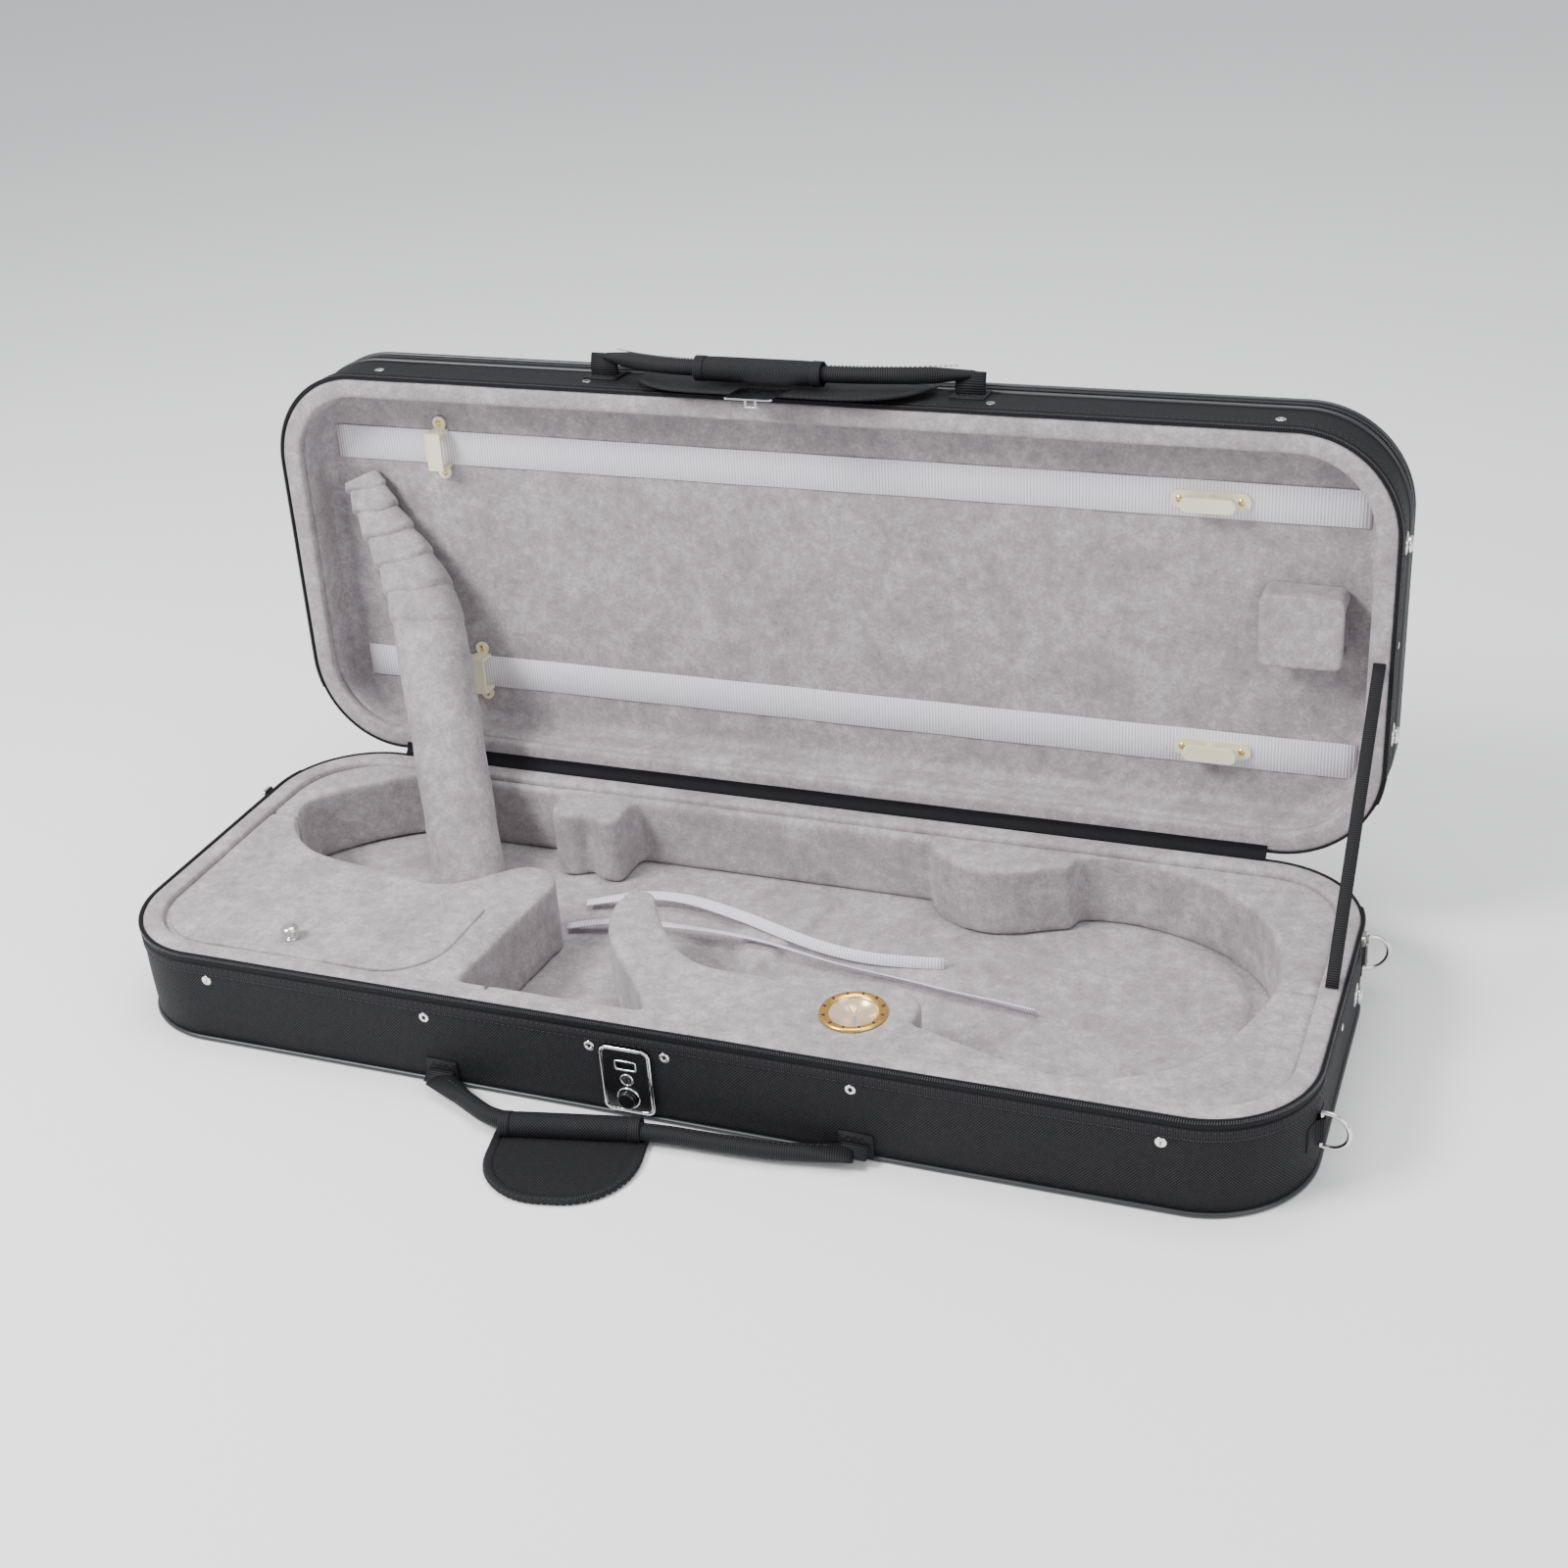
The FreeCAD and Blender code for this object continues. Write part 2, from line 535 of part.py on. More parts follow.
def zip_sliders():
    slider, pull = slider_and_pull()
    for name, turn, x in (("right", 90, HALF_L + TOOTH_REACH), ("left", -90, -HALF_L - TOOTH_REACH)):
        for part_name, shape in (("main_slider", slider), ("main_pull", pull)):
            placed = shape.rotated(V(0, 0, 0), V(0, 0, 1), turn)
            save("%s_%s" % (part_name, name), placed.translated(V(x, MAIN_SLIDER_Y, MAIN_SLIDER_Z)))
    for name, x in (("left", POCKET_SLIDER_X[0]), ("right", POCKET_SLIDER_X[1])):
        for part_name, shape in (("pocket_slider", slider), ("pocket_pull", pull)):
            placed = shape.rotated(V(0, 0, 0), V(0, 1, 0), 180 if part_name == "pocket_pull" else 0)
            placed = placed.translated(V(x, FRONT - TOOTH_REACH, POCKET_ZIP_D))
            save("%s_%s" % (part_name, name), on_lid(placed))


# ---------------------------------------------------------------- lid
LINING_D = 35.5
PLATE_D = 39.5
LINING_WALL = 11.0
PIPING_D = SHELL_LID_H + 1.0
POCKET_ZIP_D = 52.0
PANEL_T = 2.6
PANEL_D = LID_H - PANEL_T
GUSSET_T = 1.0
RIBBON_Y = (-99.0, 77.0)
RIBBON_W = 25.0
RIBBON_T = 0.8
RIBBON_X = (-372.0, 378.0)
CLIP_X = (-284.0, -272.0)
CLIP_W = 12.0
CLIP_T = 2.0
CLIP_STAND = 13.0
TURNER_X = (277.0, 283.0)
TURNER_R = 2.6
SCREW_R = 2.4
FROG = (314.0, 368.0, -34.0, 16.0)
FROG_H = 24.0
LID_RIVETS = (-319.0, -154.0, 135.0, 321.0)
LID_FEET_Y = (-68.0, 64.0)
LID_FEET_D = 30.0
LID_RIVET_D = 20.5
LID_STAY_RIVET_D = 23.0


def lid_trim():
    shell = slab(COVER_T, RIM_PAD_H, PLATE_D + WALL_T).cut(slab(COVER_T + WALL_T, 0, PLATE_D))
    save("lid_shell", on_lid(shell))
    save("lid_cover", on_lid(band(0, COVER_T, RIM_GAP, SHELL_LID_H)))
    save("lid_rim_binding", on_lid(band(-BINDING_T, 0, *LID_BINDING)))
    save("lid_zip", on_lid(zip_half(RIM_GAP, 7.6, 1.9)))
    save("lid_rim_pad", on_lid(band(COVER_T, RIM_W, RIM_GAP, RIM_PAD_H)))
    tray = slab(WALL_IN, RIM_PAD_H, PLATE_D).cut(slab(WALL_IN + LINING_WALL, 0, LINING_D))
    save("lid_lining", on_lid(tray))
    save("lid_piping", on_lid(half_bead(PIPING_D, PIPING_R)))
    gusset = band(0, GUSSET_T, SHELL_LID_H, PANEL_D - GAP)
    teeth = bead(-0.2, POCKET_ZIP_D, TOOTH_R + 0.6).cut(slab(0, 0, LID_H))
    front_and_ends = box((-LENGTH, -WIDTH, 0), (LENGTH, ZIP_END_Y, LID_H))
    save("pocket_zip", on_lid(joined([gusset, teeth.common(front_and_ends)])))


def pocket_cover():
    """Soft top panel of the music pocket with its edge piping, turning on its hinge-side edge."""
    panel = slab(0, PANEL_D, LID_H)
    edge = bead(0, PANEL_D + PIPING_R, PIPING_R).cut(slab(0, 0, LID_H + 5))
    save("pocket_panel", on_lid(joined([panel, edge])))


def bow_clip(x, y):
    """Bridge that a bow's tip slides under: two screw ears and a raised strap across them."""
    half = CLIP_W / 2
    low = LINING_D - RIBBON_T - CLIP_STAND
    strap = box((x - half, y, low), (x + half, y + RIBBON_W + 3, low + CLIP_T))
    legs = [box((x - half, yy, low), (x + half, yy + CLIP_T, LINING_D)) for yy in (y, y + RIBBON_W + 1)]
    ears = [rod((x, yy, LINING_D - 2), (x, yy, LINING_D), 5.0) for yy in (y - 4.5, y + RIBBON_W + 7.5)]
    webs = [box((x - 4, yy, LINING_D - 2), (x + 4, yy + 5, LINING_D)) for yy in (y - 4.5, y + RIBBON_W + 2.5)]
    return joined([strap] + legs + ears + webs)


def clip_screws(x, y):
    return [(x, y - 4.5), (x, y + RIBBON_W + 7.5)]


def turner_plate(x, y):
    """Oblong plate with a screw at each end and the boss that its toggle turns on."""
    face = LINING_D - RIBBON_T
    plate = rounded_plate(x - 26, x + 26, y - 6, y + 6, face - 2.5, face, 5.9)
    boss = rod((x, y, face - 10.5), (x, y, face - 2.5), TURNER_R)
    return joined([plate, boss])


def turner_toggle(x, y):
    face = LINING_D - RIBBON_T
    bar = rounded_plate(x - 18, x + 18, y - 5, y + 5, face - 13.5, face - 8.5, 4.9)
    collar = rod((x, y, face - 8.6), (x, y, face - 2.8), 5.0)
    return joined([bar, collar]).cut(rod((x, y, face - 10.6), (x, y, face), TURNER_R + 0.05))


def lid_fittings():
    left, right = RIBBON_X
    ribbons = [box((left, y, LINING_D - RIBBON_T), (right, y + RIBBON_W, LINING_D)) for y in RIBBON_Y]
    clips = [bow_clip(x, y - 1.5) for x, y in zip(CLIP_X, RIBBON_Y)]
    turner_y = [y + RIBBON_W / 2 for y in RIBBON_Y]
    plates = [turner_plate(x, y) for x, y in zip(TURNER_X, turner_y)]
    spots = [(x, y, LINING_D - 2) for cx, cy in zip(CLIP_X, RIBBON_Y) for x, y in clip_screws(cx, cy - 1.5)]
    spots += [(x + dx, y, LINING_D - RIBBON_T - 2.5) for x, y in zip(TURNER_X, turner_y) for dx in (-20, 20)]
    heads = [rivet(at, (0, 0, -1), SCREW_R, 1.0) for at in spots]
    save("bow_ribbons", on_lid(Part.makeCompound([r.cut(Part.makeCompound(clips)) for r in ribbons])))
    save("bow_clips", *[on_lid(c) for c in clips])
    save("turner_plates", *[on_lid(p) for p in plates])
    save("bow_screws", *[on_lid(h) for h in heads])
    for name, x, y in zip(("bow_turner_upper", "bow_turner_lower"), TURNER_X, turner_y):
        save(name, on_lid(turner_toggle(x, y)))
    x0, x1, y0, y1 = FROG
    pad = rounded_plate(x0, x1, y0, y1, LINING_D - FROG_H, LINING_D, 6)
    pocket = rounded_plate(x1 - 30, x1 + 8, y0 + 9, y1 - 9, LINING_D - FROG_H + 6, LINING_D - 2, 3)
    save("frog_pad", on_lid(pad.cut(pocket)))
    studs = [rivet((x, FRONT, LID_RIVET_D), (0, -1, 0)) for x in LID_RIVETS]
    studs += [rivet((HALF_L, y, LID_FEET_D), (1, 0, 0), FOOT_R, FOOT_H) for y in LID_FEET_Y]
    studs += [rivet((HALF_L, STAY_RIVET_Y, LID_STAY_RIVET_D), (1, 0, 0), STAY_RIVET_R)]
    save("lid_studs", *[on_lid(s) for s in studs])


# ---------------------------------------------------------------- lock flap
LOCK_FLAP_D = 41.5
LOCK_FLAP = (204.0, 54.0, 52.0)
LOCK_FLAP_Y = FRONT - 2.3
LOCK_FLAP_T = 1.4
HASP_W = 34.0
FLAP_LIFT = 5.5
HASP_TOP = 2.0
HASP_LOW = -36.0
HASP_T = 1.2
STAPLE_W = 7.0
STAPLE_WIRE = 0.8


def lock_flap():
    """Bound half-round flap over the zip; its plate carries the staple that the lock takes."""
    def lifted(shape):
        return on_lid(shape.rotated(V(0, LOCK_FLAP_Y, LOCK_FLAP_D), V(1, 0, 0), -FLAP_LIFT))

    flap = half_round_flap(*LOCK_FLAP, LOCK_FLAP_T).rotated(V(0, 0, 0), V(1, 0, 0), 90)
    save("lock_flap", lifted(flap.translated(V(LOCK_X, LOCK_FLAP_Y, LOCK_FLAP_D))))
    outer = LOCK_FLAP_Y - LOCK_FLAP_T
    half = HASP_W / 2
    plate = rounded_plate(LOCK_X - half, LOCK_X + half, HASP_LOW, HASP_TOP, 0, HASP_T, 4)
    plate = plate.rotated(V(0, 0, 0), V(1, 0, 0), 90).translated(V(0, outer, 0))
    hook_z = SLOT_Z - BASE_H
    reach = FRONT + 2.0
    xs = (LOCK_X - STAPLE_W / 2, LOCK_X + STAPLE_W / 2)
    legs = [rod((x, outer, hook_z), (x, reach, hook_z), STAPLE_WIRE) for x in xs]
    cross = rod((xs[0], reach, hook_z), (xs[1], reach, hook_z), STAPLE_WIRE)
    balls = [Part.makeSphere(STAPLE_WIRE, V(x, reach, hook_z)) for x in xs]
    save("hasp_plate", lifted(joined([plate] + legs + [cross] + balls)))


# ---------------------------------------------------------------- hinges
HINGE_X = (-240.0, 240.0)
HINGE_W = 42.0
LEAF_H = 22.0
LEAF_T = 0.9
KNUCKLE_R = 2.3
PIN_R = 1.1
PIN_RUN = 0.05


def hinges():
    """Butt hinges on the back wall: pins and outer knuckles on the base, middle knuckles on the lid."""
    base_side = []
    lid_side = []
    third = HINGE_W / 3
    leaf_y = BACK + BINDING_T
    for x in HINGE_X:
        start = x - HINGE_W / 2
        pin = rod((start, HINGE_Y, HINGE_Z), (start + HINGE_W, HINGE_Y, HINGE_Z), PIN_R)
        outer = ((start, third - GAP, 0), (x + third / 2 + GAP, third - GAP, 0))
        for at, width, side in outer + ((x - third / 2, third, 1),):
            barrel = rod((at, HINGE_Y, HINGE_Z), (at + width, HINGE_Y, HINGE_Z), KNUCKLE_R)
            if side == 0:
                leaf = box((at, leaf_y, HINGE_Z - LEAF_H), (at + width, leaf_y + LEAF_T, HINGE_Z))
                base_side.append(joined([barrel, leaf, pin]))
            else:
                leaf = box((at, leaf_y, 0), (at + width, leaf_y + LEAF_T, LEAF_H))
                barrel = on_lid(joined([barrel.translated(V(0, 0, -BASE_H)), leaf]))
                bore = rod((at - 5, HINGE_Y, HINGE_Z), (at + width + 5, HINGE_Y, HINGE_Z), PIN_R + PIN_RUN)
                lid_side.append(barrel.cut(bore))
    save("base_hinge_leaves", joined(base_side[:2]), joined(base_side[2:]))
    save("lid_hinge_leaves", *lid_side)


# ---------------------------------------------------------------- stays and ties
STRAP_X = (388.5, 396.5)
STRAP_ARM = 146.0
STRAP_T = 1.2
SLEEVE_TOP = (-352.0, -62.0, 24.0)
SLEEVE_FOOT = (-238.0, 62.0, BED_FLOOR + 1.0)
SLEEVE_KNEE = (-300.0, 20.0, 12.0)
SLEEVE_R = (17.0, 26.0, 25.0)
SLEEVE_FLOOR = BED_FLOOR + GAP
SLEEVE_BACK_D = LINING_D - RIBBON_T - 0.4

TIE_R = 4.0
TIE_SHORT = [(-138, 56, 17.4), (-120, 61, 20.5), (-98, 69, 23), (-66, 71.5, 23), (-34, 64, 22.5),
             (-6, 55, 22.6), (22, 44.5, 22.4), (50, 39, 20), (78, 37.5, 18), (106, 40, 17.5), (133, 45, 17.4)]
TIE_LONG = [(-138, 24, 17.4), (-118, 29.5, 20.5), (-92, 35, 23), (-60, 34.5, 23.2), (-28, 36.5, 22.6),
            (2, 34, 22.9), (30, 29, 22), (58, 26, 18.8), (88, 22.5, 17.6), (118, 18.5, 17.4),
            (148, 13, 17.5), (178, 9.8, 17.4), (208, 5, 17.4)]


def lid_point(point):
    return on_lid(Part.Vertex(*point)).Point


def stays():
    """The flat webbing strap at the right end and the pleated velvet sleeve at the left."""
    a = math.radians(OPEN_DEG)
    low = V(STRAP_X[0], HINGE_Y - STRAP_ARM, BASE_H + 0.4)
    high = V(STRAP_X[0], HINGE_Y - STRAP_ARM * math.cos(a) - 0.4, HINGE_Z + STRAP_ARM * math.sin(a))
    along = high - low
    across = V(0, -along.z, along.y).normalize() * STRAP_T
    corners = [low, high, high + across, low + across, low]
    face = Part.Face(Part.makePolygon(corners))
    save("strap_stay", face.extrude(V(STRAP_X[1] - STRAP_X[0], 0, 0)))

    top = lid_point(SLEEVE_TOP)
    knee = lid_point(SLEEVE_KNEE)
    foot = V(*SLEEVE_FOOT)
    upper = Part.makeCone(SLEEVE_R[0], SLEEVE_R[1], (knee - top).Length, top, knee - top)
    lower = Part.makeCone(SLEEVE_R[1], SLEEVE_R[2], (foot - knee).Length, knee, foot - knee)
    sleeve = joined([upper, Part.makeSphere(SLEEVE_R[1], knee), lower])
    below = box((-HALF_L, -HALF_W, -NUDGE * 60), (0, HALF_W, SLEEVE_FLOOR))
    behind = on_lid(slab(0, SLEEVE_BACK_D, SLEEVE_BACK_D + LID_H))
    save("velvet_stay", sleeve.cut(below).cut(behind))


def ties():
    for name, points in (("tie_ribbon_short", TIE_SHORT), ("tie_ribbon_long", TIE_LONG)):
        shape, path, radii = tube(points, TIE_R)
        ratio = shape.Volume / (math.pi * TIE_R ** 2 * path.Length)
        print(name, "length %.1f" % path.Length, "volume ratio %.4f" % ratio)
        print("radii", [round(r) for r in radii])
        save(name, shape)


base_trim()
bed_pieces()
compartment_cover()
hygrometer()
lock()
base_studs()
ring_hardware()
base_handle()
lid_handle()
zip_sliders()
lid_trim()
pocket_cover()
lid_fittings()
lock_flap()
hinges()
stays()
ties()
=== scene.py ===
"""Looks of the open violin case: velvet bed, woven cover, zips, webbing and metal fittings.

Metres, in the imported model's frame. Lid pieces are built on the shut lid, where the third
number is the depth above the rim, and open_lid() then turns them back to where they stand.
"""

import bmesh
import bpy
import json
import math
from mathutils import Matrix, Vector, noise


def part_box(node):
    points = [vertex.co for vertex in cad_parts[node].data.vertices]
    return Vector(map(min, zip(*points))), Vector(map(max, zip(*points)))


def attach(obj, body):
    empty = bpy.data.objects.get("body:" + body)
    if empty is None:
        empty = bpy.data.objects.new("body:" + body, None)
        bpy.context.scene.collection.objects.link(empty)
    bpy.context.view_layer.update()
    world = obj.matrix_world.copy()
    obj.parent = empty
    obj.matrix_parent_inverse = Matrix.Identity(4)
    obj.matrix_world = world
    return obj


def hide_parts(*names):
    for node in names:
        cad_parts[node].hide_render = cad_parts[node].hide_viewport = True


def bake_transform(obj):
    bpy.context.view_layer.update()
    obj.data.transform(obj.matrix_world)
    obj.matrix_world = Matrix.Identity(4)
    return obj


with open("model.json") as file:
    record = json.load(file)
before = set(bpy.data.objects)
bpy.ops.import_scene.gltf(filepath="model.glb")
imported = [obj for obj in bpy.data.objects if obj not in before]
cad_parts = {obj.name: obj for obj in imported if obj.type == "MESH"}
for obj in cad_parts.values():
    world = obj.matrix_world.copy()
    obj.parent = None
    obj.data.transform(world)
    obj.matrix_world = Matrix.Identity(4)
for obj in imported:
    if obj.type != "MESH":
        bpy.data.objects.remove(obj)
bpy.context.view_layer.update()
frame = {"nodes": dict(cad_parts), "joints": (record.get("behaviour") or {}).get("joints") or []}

MM = 0.001
LOW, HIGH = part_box("base_cover")
HALF_L = HIGH.x
HALF_W = HIGH.y
BASE_H = HIGH.z + 0.5 * MM
CORNER = 68 * MM
LID_SHELL_H = 44 * MM
LID_H = 62 * MM
ZIP_END_Y = 105 * MM
FRONT = -HALF_W
JOINTS = {joint["name"]: joint for joint in frame["joints"]}
HINGE = Vector(JOINTS["lid_hinge"]["pos_m"])
OPEN_ANGLE = math.radians(JOINTS["lid_hinge"]["range_deg"][1])
LID_OPEN = (Matrix.Translation(HINGE) @ Matrix.Rotation(-OPEN_ANGLE, 4, "X")
            @ Matrix.Translation(-HINGE) @ Matrix.Translation((0, 0, BASE_H)))


# ------------------------------------------------------------------ camera, floor and light
def look_from():
    """The camera stands in front and to the right, looking down at the open case."""
    yaw, pitch, roll = 0.401328, 0.493837, -0.078719
    forward = Vector((-math.sin(yaw) * math.cos(pitch), math.cos(yaw) * math.cos(pitch), -math.sin(pitch)))
    level = Vector((math.cos(yaw), math.sin(yaw), 0))
    upright = level.cross(forward)
    right = math.cos(roll) * level + math.sin(roll) * upright
    up = math.cos(roll) * upright - math.sin(roll) * level
    data = bpy.data.cameras.new("camera")
    data.lens = 50.6
    data.sensor_width = 36
    camera = bpy.data.objects.new("camera", data)
    camera.matrix_world = Matrix((
        (right.x, up.x, -forward.x, 0.528187),
        (right.y, up.y, -forward.y, -1.136674),
        (right.z, up.z, -forward.z, 0.832473),
        (0, 0, 0, 1)))
    bpy.context.scene.collection.objects.link(camera)
    bpy.context.scene.camera = camera


def lamp(name, place, target, size, power):
    data = bpy.data.lights.new(name, "AREA")
    data.shape = "RECTANGLE"
    data.size, data.size_y = size
    data.energy = power
    light = bpy.data.objects.new(name, data)
    light.location = place
    light.rotation_euler = (Vector(target) - Vector(place)).to_track_quat("-Z", "Y").to_euler()
    bpy.context.scene.collection.objects.link(light)


def studio():
    world = bpy.data.worlds.new("studio")
    world.use_nodes = True
    world.node_tree.nodes["Background"].inputs[0].default_value = (0.95, 0.97, 1.0, 1)
    world.node_tree.nodes["Background"].inputs[1].default_value = 0.72
    bpy.context.scene.world = world
    lamp("key", (-1.3, -1.2, 1.9), (0, 0, 0.15), (0.9, 0.7), 80)
    lamp("fill", (1.8, -1.0, 1.1), (0, 0, 0.15), (1.2, 1.2), 16)
    lamp("top", (0.1, 0.2, 2.3), (0, 0.05, 0), (1.8, 1.2), 36)
    bpy.ops.mesh.primitive_plane_add(size=30)
    floor = bpy.context.object
    floor.name = "floor"
    paint = bpy.data.materials.new("floor")
    paint.use_nodes = True
    shader = paint.node_tree.nodes["Principled BSDF"]
    shader.inputs["Base Color"].default_value = (0.93, 0.93, 0.93, 1)
    shader.inputs["Roughness"].default_value = 0.7
    floor.data.materials.append(paint)


look_from()
studio()


# ------------------------------------------------------------------ materials
class Shade:
    """A principled material with short calls for the nodes that its pattern needs."""

    def __init__(self, name, colour, roughness, **sockets):
        self.material = bpy.data.materials.new(name)
        self.material.use_nodes = True
        self.tree = self.material.node_tree
        self.shader = self.tree.nodes["Principled BSDF"]
        self.shader.inputs["Base Color"].default_value = (*colour, 1)
        self.shader.inputs["Roughness"].default_value = roughness
        for socket, value in sockets.items():
            self.shader.inputs[socket.replace("_", " ")].default_value = value
        self.normal = None

    def node(self, kind, **values):
        made = self.tree.nodes.new(kind)
        for key, value in values.items():
            setattr(made, key, value)
        return made

    def link(self, output, socket):
        self.tree.links.new(output, socket)

    def coordinates(self, source):
        return self.node("ShaderNodeTexCoord").outputs[source]

    def noise(self, scale, detail=3.0, roughness=0.5):
        made = self.node("ShaderNodeTexNoise")
        made.inputs["Scale"].default_value = scale
        made.inputs["Detail"].default_value = detail
        made.inputs["Roughness"].default_value = roughness
        self.link(self.coordinates("Object"), made.inputs["Vector"])
        return made.outputs["Fac"]

    def math(self, operation, a, b=0.0):
        made = self.node("ShaderNodeMath", operation=operation)
        for socket, value in zip(made.inputs, (a, b)):
            if isinstance(value, (int, float)):
                socket.default_value = value
            else:
                self.link(value, socket)
        return made.outputs[0]

    def split(self, source):
        made = self.node("ShaderNodeSeparateXYZ")
        self.link(self.coordinates(source), made.inputs[0])
        return made.outputs

    def ramp(self, value, stops):
        made = self.node("ShaderNodeValToRGB")
        ends = made.color_ramp.elements
        while len(ends) < len(stops):
            ends.new(0.5)
        for end, (position, colour) in zip(ends, stops):
            end.position = position
            end.color = (*colour, 1)
        self.link(value, made.inputs[0])
        return made.outputs["Color"]

    def colour(self, value, stops):
        self.link(self.ramp(value, stops), self.shader.inputs["Base Color"])
        return self

    def roughness(self, value, low, high):
        made = self.node("ShaderNodeMapRange")
        self.link(value, made.inputs["Value"])
        made.inputs["To Min"].default_value = low
        made.inputs["To Max"].default_value = high
        self.link(made.outputs[0], self.shader.inputs["Roughness"])
        return self

    def bump(self, height, strength, distance):
        made = self.node("ShaderNodeBump")
        made.inputs["Strength"].default_value = strength
        made.inputs["Distance"].default_value = distance
        self.link(height, made.inputs["Height"])
        if self.normal is not None:
            self.link(self.normal, made.inputs["Normal"])
        self.normal = made.outputs["Normal"]
        self.link(self.normal, self.shader.inputs["Normal"])
        return self


def velvet():
    """Short pile whose nap lies in brushed patches; the lighter patches, where it leans to the light, are
    painted sheen in the base colour.
    """
    made = Shade("velvet", (0.42, 0.385, 0.40), 0.92, Sheen_Weight=0.30, Sheen_Roughness=0.35)
    made.shader.inputs["Sheen Tint"].default_value = (0.95, 0.95, 1.0, 1)
    patches = made.noise(26, 6, roughness=0.7)
    crush = made.noise(120, 4, roughness=0.6)
    pile = made.noise(520, 2)
    nap = made.math("ADD", made.math("MULTIPLY", patches, 0.42), made.math("MULTIPLY", crush, 0.33))
    nap_tone_and_painted_sheen = made.math("ADD", nap, made.math("MULTIPLY", pile, 0.25))
    # Partly the pile's own uneven tone and partly painted sheen: the ramp lightens the base colour in the
    # brushed patches, standing in for the nap catching the light.
    made.colour(nap_tone_and_painted_sheen, [(0.36, (0.215, 0.192, 0.200)), (0.50, (0.315, 0.286, 0.296)),
                        (0.64, (0.46, 0.43, 0.445))])
    made.bump(crush, 0.35, 0.9 * MM)
    return made.bump(pile, 0.6, 0.4 * MM).material


def woven():
    """Basket weave of thick black yarns: two crossed waves on the surface's own coordinates."""
    pitch = 2.1 * MM
    made = Shade("oxford", (0.0035, 0.0035, 0.0042), 0.62, Specular_IOR_Level=0.16)
    u, v = made.split("UV")[:2]
    wave_u = made.math("SINE", made.math("MULTIPLY", u, math.tau / pitch))
    wave_v = made.math("SINE", made.math("MULTIPLY", v, math.tau / pitch))
    yarns = made.math("ADD", made.math("MULTIPLY", made.math("MULTIPLY", wave_u, wave_v), 0.5), 0.5)
    slub = made.noise(420, 2)
    height = made.math("ADD", yarns, made.math("MULTIPLY", slub, 0.35))
    # Painted shade and highlight: the ramp darkens the base colour in the hollows between the yarns and
    # lightens it on their crests, following the weave's height.
    made.colour(height, [(0.25, (0.0008, 0.0008, 0.001)), (0.8, (0.009, 0.009, 0.0105)),
                         (1.0, (0.030, 0.030, 0.034))])
    made.roughness(yarns, 0.78, 0.48)
    return made.bump(height, 0.75, 0.42 * MM).material


def ribbed(name, pitch, colour, light, roughness=0.6):
    """Webbing, tape or grosgrain: ribs across its length, with the odd uneven thread."""
    made = Shade(name, colour, roughness, Specular_IOR_Level=0.16)
    wave = made.math("SINE", made.math("MULTIPLY", made.split("UV")[0], math.tau / pitch))
    ribs = made.math("ADD", made.math("MULTIPLY", wave, 0.5), 0.5)
    height = made.math("ADD", ribs, made.math("MULTIPLY", made.noise(700, 2), 0.3))
    # Painted highlight: the ramp runs from the dye colour in the furrows to a lighter colour on the rib
    # crests, standing in for light on the ribs.
    made.colour(height, [(0.1, colour), (1.1, light)])
    return made.bump(height, 0.7, 0.35 * MM).material


def vinyl():
    made = Shade("vinyl_piping", (0.022, 0.024, 0.026), 0.34)
    made.roughness(made.noise(160, 3), 0.26, 0.46)
    return made.bump(made.noise(900, 2), 0.15, 0.1 * MM).material


def metal(name, colour, rough, scratch=0.10):
    made = Shade(name, colour, rough, Metallic=1.0)
    wear = made.noise(220, 5)
    made.roughness(wear, rough, rough + scratch)
    return made.bump(wear, 0.06, 0.05 * MM).material


def moulded(name, colour, dark, rough):
    made = Shade(name, colour, rough, Specular_IOR_Level=0.5)
    flow = made.noise(60, 4)
    made.colour(flow, [(0.3, dark), (0.7, colour)])
    made.roughness(made.noise(300, 3), rough - 0.06, rough + 0.10)
    return made.bump(made.noise(1400, 2), 0.08, 0.06 * MM).material


MAT = {
    "velvet": velvet(),
    "oxford": woven(),
    # The second colour of each ribbed material is its painted highlight on the rib crests.
    "tape": ribbed("zip_tape", 0.9 * MM, (0.0018, 0.0018, 0.0024), (0.010, 0.010, 0.013)),
    "webbing": ribbed("webbing", 1.5 * MM, (0.0018, 0.0018, 0.002), (0.020, 0.020, 0.022)),
    "grosgrain": ribbed("grosgrain", 2.2 * MM, (0.50, 0.48, 0.52), (0.80, 0.78, 0.82), 0.7),
    "vinyl": vinyl(),
    "nickel": metal("nickel", (0.78, 0.76, 0.73), 0.16),
    "chrome": metal("chrome", (0.85, 0.85, 0.86), 0.06, 0.05),
    "brass": metal("brass", (0.80, 0.58, 0.24), 0.25),
    "gilt": metal("gilt", (0.86, 0.54, 0.14), 0.20),
    "ivory": moulded("ivory", (0.80, 0.74, 0.55), (0.74, 0.68, 0.49), 0.38),
    "enamel": moulded("black_enamel", (0.006, 0.006, 0.007), (0.010, 0.010, 0.011), 0.16),
    "thread": moulded("thread", (0.020, 0.020, 0.022), (0.012, 0.012, 0.014), 0.7),
    "teeth": moulded("coil_teeth", (0.020, 0.020, 0.024), (0.012, 0.012, 0.015), 0.34),
    "dial": moulded("dial", (0.52, 0.30, 0.09), (0.40, 0.22, 0.06), 0.55),
    "ink": moulded("ink", (0.03, 0.02, 0.015), (0.02, 0.015, 0.01), 0.5),
}


def lens_glass():
    """Clear lens: thin enough to see the dial through, with a gloss of its own."""
    made = Shade("lens", (0.92, 0.94, 0.92), 0.04, Specular_IOR_Level=1.0, Alpha=0.16)
    made.roughness(made.noise(90, 3), 0.02, 0.07)
    return made.material


MAT["glass"] = lens_glass()


